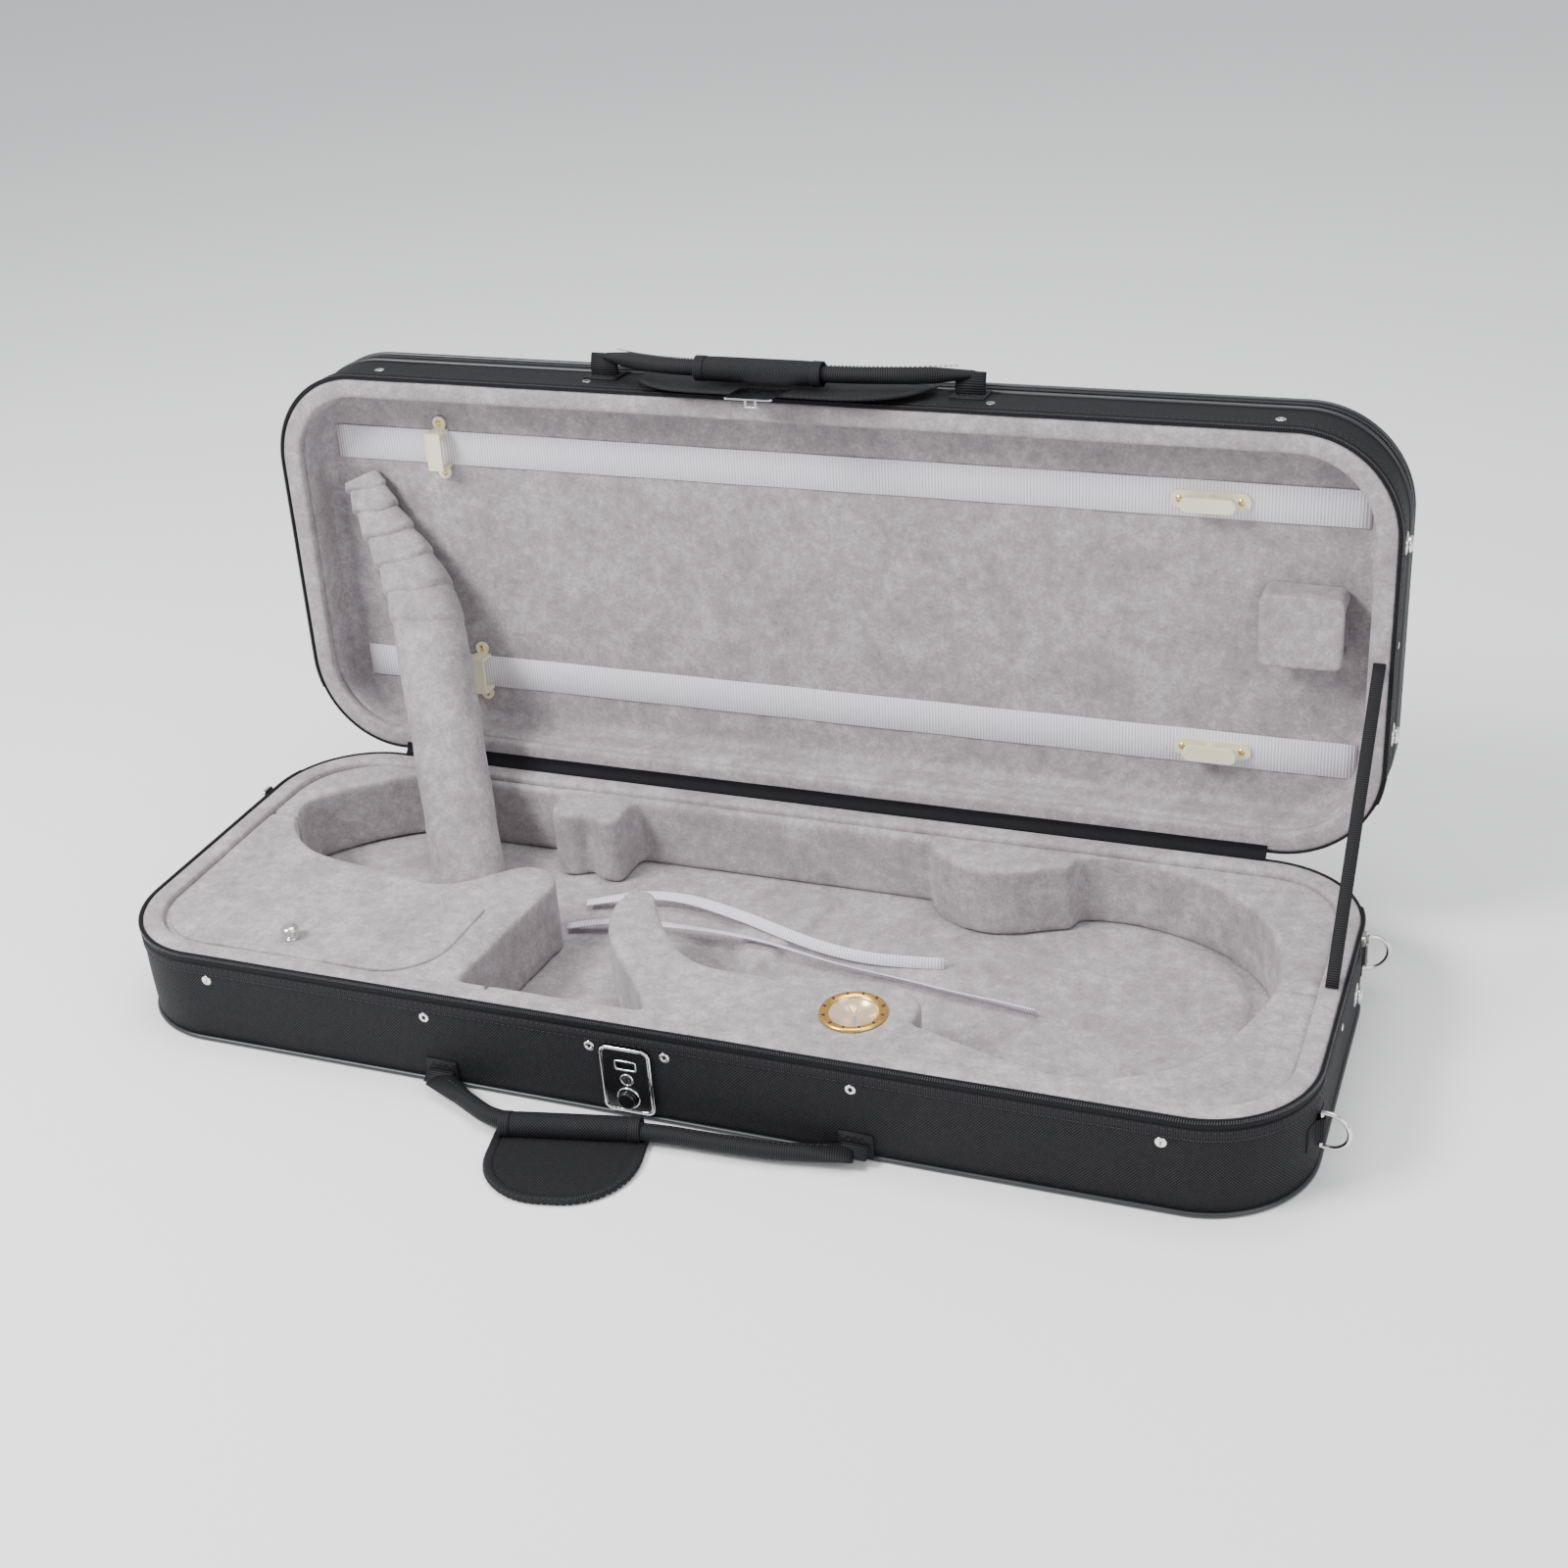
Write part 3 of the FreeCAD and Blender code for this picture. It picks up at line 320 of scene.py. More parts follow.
# ------------------------------------------------------------------ mesh helpers
def piece(name, bm, material, body, slot, *nodes, smooth=True):
    """Turn a bmesh into a named piece that rides on a body and stands for some CAD nodes."""
    bmesh.ops.recalc_face_normals(bm, faces=bm.faces)
    data = bpy.data.meshes.new(name)
    bm.to_mesh(data)
    bm.free()
    data.materials.append(MAT[material])
    for polygon in data.polygons:
        polygon.use_smooth = smooth
    made = bpy.data.objects.new(name, data)
    bpy.context.scene.collection.objects.link(made)
    if nodes:
        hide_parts(*nodes)
    if body:
        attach(made, body)
    return made


def open_lid(bm):
    """Carry a bmesh drawn on the shut lid to the open lid."""
    bmesh.ops.transform(bm, matrix=LID_OPEN, verts=bm.verts)
    return bm


def on_half(bm, body):
    """The base's pieces stay where they are drawn, and the lid's turn open with it."""
    return open_lid(bm) if body == "lid" else bm


def bridge(bm, a, b):
    """Faces between two closed rows of the same number of points."""
    for k in range(len(a)):
        m = (k + 1) % len(a)
        bm.faces.new((a[k], a[m], b[m], b[k]))


def band(bm, uv, a, b, run_a, run_b, girth):
    """Faces between two closed rows, with the way along and the way round as their UVs."""
    for k in range(len(a)):
        m = (k + 1) % len(a)
        face = bm.faces.new((a[k], b[k], b[m], a[m]))
        corners = ((run_a, girth[k]), (run_b, girth[k]), (run_b, girth[k + 1]), (run_a, girth[k + 1]))
        for loop, value in zip(face.loops, corners):
            loop[uv].uv = value


def girth_of(section):
    """Distance round a closed section at each of its points, and at the first again."""
    girth = [0.0]
    for a, b in zip(section, section[1:] + section[:1]):
        girth.append(girth[-1] + math.dist(a, b))
    return girth


def cap_ends(bm, rows):
    bm.faces.new(rows[0])
    bm.faces.new(list(reversed(rows[-1])))


def flat_uv(bm, uv, axis=1):
    """UVs laid straight on from X and one other axis."""
    for face in bm.faces:
        for loop in face.loops:
            loop[uv].uv = (loop.vert.co.x, loop.vert.co[axis])


PLAN_STEP = 9 * MM


def plan(part="ring"):
    """Points round the case's plan: (point, outward direction, distance run).

    'ring' closes on itself; 'zip' starts and ends at the hinge side's two zip ends."""
    points = []
    hx, hy = HALF_L - CORNER, HALF_W - CORNER
    corners = ((1, -1), (-1, -1), (-1, 1), (1, 1))
    turns = 22
    for index, (sx, sy) in enumerate(corners):
        start = -index * math.pi / 2
        for k in range(turns + 1):
            angle = start - math.pi / 2 * k / turns
            way = Vector((math.cos(angle), math.sin(angle), 0))
            points.append((Vector((sx * hx, sy * hy, 0)) + way * CORNER, way))
        nx, ny = corners[(index + 1) % 4]
        here = points[-1][0]
        there = Vector((nx * hx, ny * hy, 0)) + points[-1][1] * CORNER
        count = max(2, int((there - here).length / PLAN_STEP))
        points += [(here.lerp(there, k / count), points[-1][1].copy()) for k in range(1, count)]
    if part == "zip":
        kept = [p for p in points if p[0].y <= ZIP_END_Y]
        split = max(range(len(kept)), key=lambda i: (kept[i][0] - kept[i - 1][0]).length)
        points = kept[split:] + kept[:split]
    run = 0.0
    out = []
    for index, (place, way) in enumerate(points):
        if index:
            run += (place - points[index - 1][0]).length
        out.append((place, way, run))
    return out


def sweep(profile, part="ring", wobble=0.0):
    """Carry a closed profile of (outward, height) pairs round the plan, with lengths as its UVs."""
    path = plan(part)
    bm = bmesh.new()
    uv = bm.loops.layers.uv.new("UVMap")
    girth = girth_of(profile)
    rows = []
    for place, way, run in path:
        give = wobble * noise.noise(Vector((run * 14, 3.1, 0))) if wobble else 0.0
        rows.append([bm.verts.new(place + way * (out + give) + Vector((0, 0, high)))
                     for out, high in profile])
    closed = part == "ring"
    total = path[-1][2] + (path[0][0] - path[-1][0]).length
    for i in range(len(rows) if closed else len(rows) - 1):
        j = (i + 1) % len(rows)
        band(bm, uv, rows[i], rows[j], path[i][2], path[j][2] if j else total, girth)
    if not closed:
        cap_ends(bm, rows)
    return bm


def round_profile(out, high, radius, sides=12):
    return [(out + radius * math.cos(math.tau * k / sides), high + radius * math.sin(math.tau * k / sides))
            for k in range(sides)]


def box_profile(out0, out1, low, high, ease=0.3 * MM):
    """A rectangle with eased corners."""
    return [(out0 + ease, low), (out1 - ease, low), (out1, low + ease), (out1, high - ease),
            (out1 - ease, high), (out0 + ease, high), (out0, high - ease), (out0, low + ease)]


def brick(bm, at, x_axis, y_axis, z_axis, size, ease=0.25):
    """A small block with chamfered long edges, added to a bmesh at any orientation."""
    sx, sy, sz = (value / 2 for value in size)
    ring = [(-sx, -sz + sz * ease), (-sx + sx * ease, -sz), (sx - sx * ease, -sz), (sx, -sz + sz * ease),
            (sx, sz - sz * ease), (sx - sx * ease, sz), (-sx + sx * ease, sz), (-sx, sz - sz * ease)]
    ends = [[bm.verts.new(at + x_axis * a + z_axis * b + y_axis * side) for a, b in ring]
            for side in (-sy, sy)]
    cap_ends(bm, ends)
    for k in range(8):
        bm.faces.new((ends[0][k], ends[1][k], ends[1][(k + 1) % 8], ends[0][(k + 1) % 8]))


def stations(part, out, high, first, pitch):
    """Evenly spaced places round the plan: (place, outward direction, direction of travel)."""
    path = plan(part)
    run = first
    index = 0
    while index < len(path) - 1:
        a, b = path[index], path[index + 1]
        if run > b[2]:
            index += 1
            continue
        share = (run - a[2]) / max(b[2] - a[2], 1e-9)
        way = a[1].lerp(b[1], share).normalized()
        place = a[0].lerp(b[0], share) + way * out + Vector((0, 0, high))
        yield place, way, Vector((-way.y, way.x, 0))
        run += pitch


def stitches(bm, out, high):
    """A row of raised thread stitches round the plan."""
    length, gap, thick = 2.6 * MM, 1.5 * MM, 0.45 * MM
    for place, way, along in stations("ring", out, high, gap, length + gap):
        brick(bm, place, way, along, Vector((0, 0, 1)), (thick, length, thick))


def coil(bm, out, high, lean):
    """Zip teeth: a close row of small slanted links along the zip."""
    pitch = 1.5 * MM
    for place, way, along in stations("zip", out, high, pitch, pitch):
        upright = (Vector((0, 0, 1)) + along * lean).normalized()
        brick(bm, place, way, along, upright, (1.1 * MM, 0.8 * MM, 2.3 * MM), 0.4)


def smooth_line(points, resolution=10):
    """Points read from the NURBS line whose control points are given."""
    data = bpy.data.curves.new("line", "CURVE")
    data.dimensions = "3D"
    data.resolution_u = resolution
    spline = data.splines.new("NURBS")
    spline.points.add(len(points) - 1)
    for spot, point in zip(spline.points, points):
        spot.co = (*point, 1)
    spline.order_u = 3
    spline.use_endpoint_u = True
    holder = bpy.data.objects.new("line", data)
    mesh = bpy.data.meshes.new_from_object(holder)
    line = [v.co.copy() for v in mesh.vertices]
    bpy.data.objects.remove(holder)
    bpy.data.curves.remove(data)
    bpy.data.meshes.remove(mesh)
    return line


def tube(line, section, up=Vector((0, 0, 1)), twist=0.0):
    """Carry a closed section of (side, up) pairs along a line, with lengths as its UVs.

    section may be a function of the share of the way along."""
    bm = bmesh.new()
    uv = bm.loops.layers.uv.new("UVMap")
    rows = []
    runs = [0.0]
    for a, b in zip(line, line[1:]):
        runs.append(runs[-1] + (b - a).length)
    for index, place in enumerate(line):
        ahead = line[min(index + 1, len(line) - 1)]
        behind = line[max(index - 1, 0)]
        along = (ahead - behind).normalized()
        side = along.cross(up).normalized()
        top = side.cross(along).normalized()
        share = runs[index] / runs[-1]
        if twist:
            turn = Matrix.Rotation(twist * share, 3, along)
            side, top = turn @ side, turn @ top
        ring = section(share) if callable(section) else section
        rows.append([bm.verts.new(place + side * a + top * b) for a, b in ring])
    girth = girth_of(section(0.5) if callable(section) else section)
    for i in range(len(rows) - 1):
        band(bm, uv, rows[i], rows[i + 1], runs[i], runs[i + 1], girth)
    cap_ends(bm, rows)
    return bm


def oval(width, height, sides=16):
    return [(width / 2 * math.cos(math.tau * k / sides), height / 2 * math.sin(math.tau * k / sides))
            for k in range(sides)]


def flat_section(width, thick, ease=0.35):
    w, t = width / 2, thick / 2
    e = t * ease
    return [(-w, -t + e), (-w + e, -t), (w - e, -t), (w, -t + e),
            (w, t - e), (w - e, t), (-w + e, t), (-w, t - e)]


# ------------------------------------------------------------------ free cords: the two neck ties
TIE_WIDTH = 8 * MM
TIE_THICK = 0.9 * MM
TIES = {
    "tie_ribbon_short": (0.2785, 1.3, [
        (-138, 56, 17.4), (-120, 61, 20.5), (-98, 69, 23), (-66, 71.5, 23), (-34, 64, 22.5), (-6, 55, 22.6),
        (22, 44.5, 22.4), (50, 39, 20), (78, 37.5, 18), (106, 40, 17.5), (133, 45, 17.4)]),
    "tie_ribbon_long": (0.3499, -1.1, [
        (-138, 24, 17.4), (-118, 29.5, 20.5), (-92, 35, 23), (-60, 34.5, 23.2), (-28, 36.5, 22.6),
        (2, 34, 22.9), (30, 29, 22), (58, 26, 18.8), (88, 22.5, 17.6), (118, 18.5, 17.4), (148, 13, 17.5),
        (178, 9.8, 17.4), (208, 5, 17.4)]),
}


def neck_ties():
    for node, (length, twist, route) in TIES.items():
        line = smooth_line([Vector(point) * MM for point in route])
        bm = tube(line, flat_section(TIE_WIDTH, TIE_THICK), twist=twist)
        ribbon = piece(node + "_woven", bm, "grosgrain", "base", "ribbon", node)
        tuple(line[0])


neck_ties()


# ------------------------------------------------------------------ base and lid: cover, trim, zips
BINDING = 1.2 * MM
PIPING_R = 1.8 * MM


def wall(name, low, high, body, node):
    """Woven cover of one half: a wall that bellies a little between its seams."""
    levels = [low + (high - low) * k / 8 for k in range(9)]
    outer = [(0.15 * MM + 0.7 * MM * math.sin(math.pi * k / 8), z) for k, z in enumerate(levels)]
    inner = [(-0.9 * MM, levels[-1]), (-0.9 * MM, levels[0])]
    bm = sweep(outer + inner, wobble=0.5 * MM)
    piece(name, on_half(bm, body), "oxford", body, "nylon", node)


def tape(name, low, high, body, node, rows):
    """Ribbed binding with its rows of stitching."""
    bm = sweep(box_profile(0.1 * MM, BINDING + 0.1 * MM, low, high))
    piece(name, on_half(bm, body), "webbing", body, "webbing", node)
    sewn = bmesh.new()
    for z in rows:
        stitches(sewn, BINDING + 0.15 * MM, z)
    piece(name + "_stitches", on_half(sewn, body), "thread", body, "webbing")


def zip_side(name, low, high, teeth_z, lean, body, node):
    bm = sweep(box_profile(0.0, 0.9 * MM, low, high, 0.2 * MM), part="zip")
    piece(name, on_half(bm, body), "tape", body, "zip_tape", node)
    links = bmesh.new()
    coil(links, 1.25 * MM, teeth_z, lean)
    piece(name + "_teeth", on_half(links, body), "teeth", body, "zip_tape")


def piping(name, z, body, node):
    bm = sweep(round_profile(0.2 * MM, z, PIPING_R))
    piece(name, on_half(bm, body), "vinyl", body, "piping", node)


def rim_roll(name, low, high, body, node):
    """Padded velvet roll round the mouth, with a crease against the bed."""
    depth = 14 * MM
    middle = (low + high) / 2
    half = (high - low) / 2
    power = 0.55
    ring = []
    for k in range(22):
        angle = math.tau * k / 22
        c, s = math.cos(angle), math.sin(angle)
        ring.append((-1.0 * MM - depth / 2 + depth / 2 * math.copysign(abs(c) ** power, c),
                     middle + half * math.copysign(abs(s) ** power, s)))
    bm = sweep(ring, wobble=0.25 * MM)
    return piece(name, on_half(bm, body), "velvet", body, "velvet", node)


def shells():
    wall("base_wall_cloth", 2.5 * MM, BASE_H - 0.6 * MM, "base", "base_cover")
    wall("lid_wall_cloth", 0.6 * MM, LID_SHELL_H, "lid", "lid_cover")
    piping("base_bottom_piping_vinyl", 2.0 * MM, "base", "base_bottom_piping")
    piping("lid_piping_vinyl", LID_SHELL_H + 1.0 * MM, "lid", "lid_piping")
    tape("base_binding_tape", BASE_H - 15.6 * MM, BASE_H - 7.6 * MM, "base", "base_rim_binding",
         (BASE_H - 14.4 * MM, BASE_H - 9.0 * MM))
    tape("lid_binding_tape", 7.6 * MM, 15.6 * MM, "lid", "lid_rim_binding", (9.0 * MM, 14.4 * MM))
    zip_side("base_zip_tape", BASE_H - 7.6 * MM, BASE_H - 0.5 * MM, BASE_H - 1.9 * MM, 0.25, "base",
             "base_zip")
    zip_side("lid_zip_tape", 0.5 * MM, 7.6 * MM, 1.9 * MM, -0.25, "lid", "lid_zip")
    rim_roll("base_rim_roll", BASE_H - 8 * MM, BASE_H - 0.5 * MM, "base", "base_rim_pad")
    rim_roll("lid_rim_roll", 0.5 * MM, 8 * MM, "lid", "lid_rim_pad")


# ------------------------------------------------------------------ velvet over foam
def velvet_skin(name, node, voxel, factor, rounding):
    """A CAD node's own shape in velvet, with its edges softened."""
    block = frame["nodes"][node].data.copy()
    block.name = name
    made = bpy.data.objects.new(name, block)
    bpy.context.scene.collection.objects.link(made)
    for kind, settings in (("REMESH", {"mode": "VOXEL", "voxel_size": voxel}),
                           ("SMOOTH", {"factor": factor, "iterations": rounding})):
        modifier = made.modifiers.new(kind.lower(), kind)
        for key, value in settings.items():
            setattr(modifier, key, value)
    bpy.context.view_layer.update()
    seen = made.evaluated_get(bpy.context.evaluated_depsgraph_get())
    ready = bpy.data.meshes.new_from_object(seen)
    made.modifiers.clear()
    made.data = ready
    bpy.data.meshes.remove(block)
    ready.materials.clear()
    ready.materials.append(MAT["velvet"])
    for polygon in ready.polygons:
        polygon.use_smooth = True
    return made


def soft_copy(name, node, body, slot, voxel, rounding, uneven, puff):
    """Velvet over a foam block, with an uneven nap."""
    made = velvet_skin(name, node, voxel * MM, 0.55, rounding)
    vertices = made.data.vertices
    normals = [v.normal.copy() for v in vertices]
    for vertex, normal in zip(vertices, normals):
        lump = noise.noise(vertex.co * 17) * uneven * MM + noise.noise(vertex.co * 60) * 0.25 * MM
        vertex.co += normal * (lump + puff * MM)
    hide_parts(node)
    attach(made, body)


# piece, CAD node, body, slot, voxel in mm, smoothing passes, unevenness and puff in mm
BED = (
    ("bed_floor_velvet", "bed_floor", "base", "foam", 2.6, 6, 0.8, 0.0),
    ("box_velvet", "compartment_box", "base", "foam", 2.4, 9, 0.8, 0.0),
    ("front_rail_velvet", "front_rail", "base", "foam", 2.4, 9, 0.8, 0.0),
    ("back_rail_velvet", "back_rail", "base", "foam", 2.4, 9, 0.8, 0.0),
    ("lid_lining_velvet", "lid_lining", "lid", "velvet", 2.6, 9, 0.25, -0.5),
    ("frog_pad_velvet", "frog_pad", "lid", "velvet", 1.6, 5, 0.8, 0.0),
)


def bed():
    for row in BED:
        soft_copy(*row)


shells()
bed()


# ------------------------------------------------------------------ stays
BED_TOP_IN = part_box("bed_floor")[1].z - 4.6 * MM


def lid_point(x, y, d):
    return LID_OPEN @ (Vector((x, y, d)) * MM)


def velvet_stay():
    """Velvet sleeve at the left: gathered in shingled pleats near its top, smooth towards the bed."""
    top = lid_point(-352, -62, 28)
    shoulder = lid_point(-339, -34, 23)
    knee = lid_point(-303, 18, 13)
    foot = Vector((-238, 62, 15)) * MM
    line = smooth_line([top, shoulder, knee, knee.lerp(foot, 0.3), knee.lerp(foot, 0.65), foot], 40)
    fine = [a.lerp(b, k / 4) for a, b in zip(line, line[1:]) for k in range(4)] + [line[-1]]
    pleats = 7.5
    gathered = 0.52

    def section(share):
        swell = min(1.0, 0.54 + share * 1.4)
        flat = 0.42 + 0.36 * min(1.0, share / 0.35)
        gather = max(0.0, 1.0 - max(0.0, share - 0.12) / (gathered - 0.12))
        ring = []
        for k in range(72):
            angle = math.tau * k / 72
            droop = 0.30 * math.sin(angle + 0.4) + 0.16 * math.sin(2 * angle + 0.7)
            phase = pleats * max(0.0, share / gathered) ** 0.78 + droop
            part = phase % 1.0
            lip = part ** 0.75 * (1.0 - max(0.0, (part - 0.80) / 0.20) ** 1.5)
            uneven = 0.75 + 0.5 * noise.noise(Vector((math.floor(phase) * 1.7, math.cos(angle), 0.3)))
            crease = gather * uneven * 6.0 * MM * (lip - 0.55)
            long_fold = 1.1 * MM * math.sin(3 * angle + 4 * share) * (0.3 + share)
            width = 28 * MM * swell + crease + long_fold
            ring.append((width * math.cos(angle), flat * width * math.sin(angle)))
        return ring

    bm = tube(fine, section, up=Vector((0, -1, 0.2)))
    for vertex in bm.verts:
        vertex.co.z = max(vertex.co.z, BED_TOP_IN)
        vertex.co += Vector((noise.noise(vertex.co * 40), noise.noise(vertex.co * 43), 0)) * 0.9 * MM
    stay = piece("velvet_sleeve", bm, "velvet", None, "velvet", "velvet_stay")
    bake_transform(stay)


def strap_stay():
    """Flat webbing strap, 8 mm wide, that holds the lid open at the right end."""
    low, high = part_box("strap_stay")
    x = (low.x + high.x) / 2
    start = Vector((x, low.y + 0.6 * MM, low.z))
    end = Vector((x, high.y, high.z))
    steps = 26
    line = [start.lerp(end, k / steps) for k in range(steps + 1)]
    bm = tube(line, flat_section(high.x - low.x, 1.2 * MM), up=Vector((0, 1, 0)))
    strap = piece("stay_strap", bm, "webbing", None, "webbing", "strap_stay")
    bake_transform(strap)


def hinge_cloth():
    """Strip of tape that closes the gap between the two rims along the hinge side."""
    reach = HALF_L - CORNER - 4 * MM
    route = [(143.0, 69.9), (145.2, 70.6), (146.4, 71.9), (147.7, 73.4), (148.7, 75.6), (148.9, 78.0)]
    bm = bmesh.new()
    uv = bm.loops.layers.uv.new("UVMap")
    columns = 90
    rows = []
    for k in range(columns + 1):
        x = -reach + 2 * reach * k / columns
        row = []
        for y, z in route:
            sag = 0.25 * MM * noise.noise(Vector((x * 30, z, 0)))
            row.append(bm.verts.new((x, y * MM - sag, z * MM + sag)))
        rows.append(row)
    for a, b in zip(rows, rows[1:]):
        for k in range(len(route) - 1):
            bm.faces.new((a[k], b[k], b[k + 1], a[k + 1]))
    flat_uv(bm, uv, 2)
    strip = piece("hinge_tape", bm, "tape", None, "webbing")
    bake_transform(strip)


# ------------------------------------------------------------------ handles
def bound_flap(name, length, depth, radius, thick, matrix, body, slot, crown=0.9 * MM, over=1.0 * MM):
    """A half-round flap of woven cloth, padded in its middle and bound with ribbed tape."""
    edge = [Vector((-length / 2, 0, 0)), Vector((-length / 2, -(depth - radius), 0))]
    straight = depth - radius
    turns = [math.pi / 2 * k / 12 for k in range(13)]
    edge += [Vector((-length / 2 + radius - radius * math.cos(t), -straight - radius * math.sin(t), 0))
             for t in turns[1:]]
    edge += [Vector((length / 2 - radius + radius * math.sin(t), -straight - radius * math.cos(t), 0))
             for t in turns]
    edge += [Vector((length / 2, 0, 0))]
    top = [Vector((length / 2 - length * k / 8, 0, 0)) for k in range(1, 8)]
    outline = edge + top
    middle = Vector((0, -depth * 0.45, 0))
    bm = bmesh.new()
    uv = bm.loops.layers.uv.new("UVMap")
    rings = 7
    for side in (1, -1):
        rows = []
        for k in range(rings + 1):
            share = k / rings
            lift = side * (thick / 2 + (crown if side > 0 else 0.2 * MM) * (1 - share ** 3))
            rows.append([bm.verts.new(middle.lerp(p, max(share, 0.02)) + Vector((0, 0, lift)))
                         for p in outline])
        for a, b in zip(rows, rows[1:]):
            bridge(bm, a, b)
        bm.faces.new(rows[0])
    flat_uv(bm, uv)
    bmesh.ops.transform(bm, matrix=matrix, verts=bm.verts)
    piece(name, bm, "oxford", body, slot)
    bound = [matrix @ point for point in edge]
    up = (matrix.to_3x3() @ Vector((0, 0, 1))).normalized()
    trim = tube(bound, flat_section(7.5 * MM, thick + 2 * over, 0.9), up=up)
    piece(name + "_binding", trim, "webbing", body, "webbing")
    sewn = bmesh.new()
    run = 0.0
    for a, b in zip(bound, bound[1:]):
        along = (b - a).normalized()
        side = along.cross(up).normalized()
        while run < (b - a).length:
            at = a + along * run
            for face_side in (1, -1):
                raised = up * face_side * (thick / 2 + over + 0.05 * MM)
                brick(sewn, at + side * 2.4 * MM + raised, side, along, up, (0.45 * MM, 2.4 * MM, 0.4 * MM))
            run += 3.9 * MM
        run -= (b - a).length
    piece(name + "_stitches", sewn, "thread", body, "webbing")


def webbing_tab(name, centre, across, down, outward, body, reach, size=(24, 20)):
    """The sewn end of a handle: webbing with a boxed cross of stitches, and its loop round the strap."""
    width, length = (value * MM for value in size)
    line = [centre + down * (length * k / 6) + outward * (1.1 * MM) for k in range(7)]
    piece(name, tube(line, flat_section(width, 1.8 * MM), up=outward), "webbing", body, "webbing")
    root = centre + down * length * 0.45
    loop = smooth_line([root, root + outward * reach * 0.4 + down * 1.5 * MM, root + outward * reach,
                        root + outward * (reach + 4 * MM) - down * 2 * MM])
    folded = tube(loop, flat_section(width * 0.86, 3.4 * MM, 0.8), up=down)
    piece(name + "_loop", folded, "webbing", body, "webbing")
    bm = bmesh.new()
    half = width / 2 - 2.5 * MM
    corners = [(-half, 2.5 * MM), (half, 2.5 * MM), (half, length - 2.5 * MM), (-half, length - 2.5 * MM)]
    for a, b in ((0, 1), (1, 2), (2, 3), (3, 0), (0, 2), (1, 3)):
        (ax, ay), (bx, by) = corners[a], corners[b]
        start = centre + across * ax + down * ay + outward * 2.1 * MM
        stop = centre + across * bx + down * by + outward * 2.1 * MM
        along = (stop - start).normalized()
        count = int((stop - start).length / (3.4 * MM))
        for k in range(count):
            at = start.lerp(stop, (k + 0.5) / count)
            brick(bm, at, along.cross(outward), along, outward, (0.45 * MM, 2.2 * MM, 0.4 * MM))
    piece(name + "_stitches", bm, "thread", body, "webbing")


def handle(name, route, matrix, body, nodes, grip_ends, flap, flap_matrix, up):
    """Webbing folded to a tube, its wrapped grip and the grip's bound flap."""
    line = [matrix @ point for point in smooth_line([Vector(p) * MM for p in route], 12)]
    last = len(line) - 1

    def section(share):
        pinch = min(1.0, min(share, 1 - share) / 0.10)
        return oval((20 - 8.0 * pinch) * MM, (4.5 + 6.5 * pinch) * MM, 18)

    piece(name + "_webbing", tube(line, section, up=up), "webbing", body, "webbing", nodes[0])
    seam = bmesh.new()
    for index in range(3, last - 3):
        a, b = line[index], line[index + 1]
        along = (b - a).normalized()
        side = along.cross(up).normalized()
        top = side.cross(along).normalized()
        at = (a + b) / 2 + top * 5.9 * MM
        brick(seam, at, side, along, top, (0.5 * MM, min((b - a).length * 0.62, 3.2 * MM), 0.5 * MM))
    piece(name + "_seam", seam, "thread", body, "webbing")
    start, stop = (matrix @ (Vector(p) * MM) for p in grip_ends)
    wrap = [start.lerp(stop, k / 24) for k in range(25)]

    def wrapped(share):
        ease = 1 - 0.10 * (2 * share - 1) ** 8
        return oval(16.6 * MM * ease, 16.6 * MM * ease, 22)

    piece(name + "_grip", tube(wrap, wrapped, up=up), "oxford", body, "nylon", nodes[1])
    for end, inner in ((start, stop), (stop, start)):
        along = (inner - end).normalized()
        ring = [end + along * 7 * MM * k / 4 for k in range(5)]
        piece(name + "_cuff_" + ("a" if end is start else "b"), tube(ring, oval(17 * MM, 17 * MM, 22), up=up),
              "webbing", body, "webbing")
    length, depth, radius, thick = (value * MM for value in flap)
    bound_flap(name + "_flap", length, depth, radius, thick, flap_matrix, body, "nylon")


BASE_ROUTE = [(-146, -153.5, 9), (-118, -170, 9), (-84, -186, 9), (4, -168, 9), (58, -167, 9), (104, -164, 9),
              (137, -153.5, 9)]
LID_ROUTE = [(-146, 0, 0), (-126, -18, 0), (-92, -34, 0), (-64, -38, 0), (-19, -38.6, 0), (26, -38, 0),
             (58, -33, 0), (98, -17, 0), (118, 0, 0)]
LID_TILT = 9.0


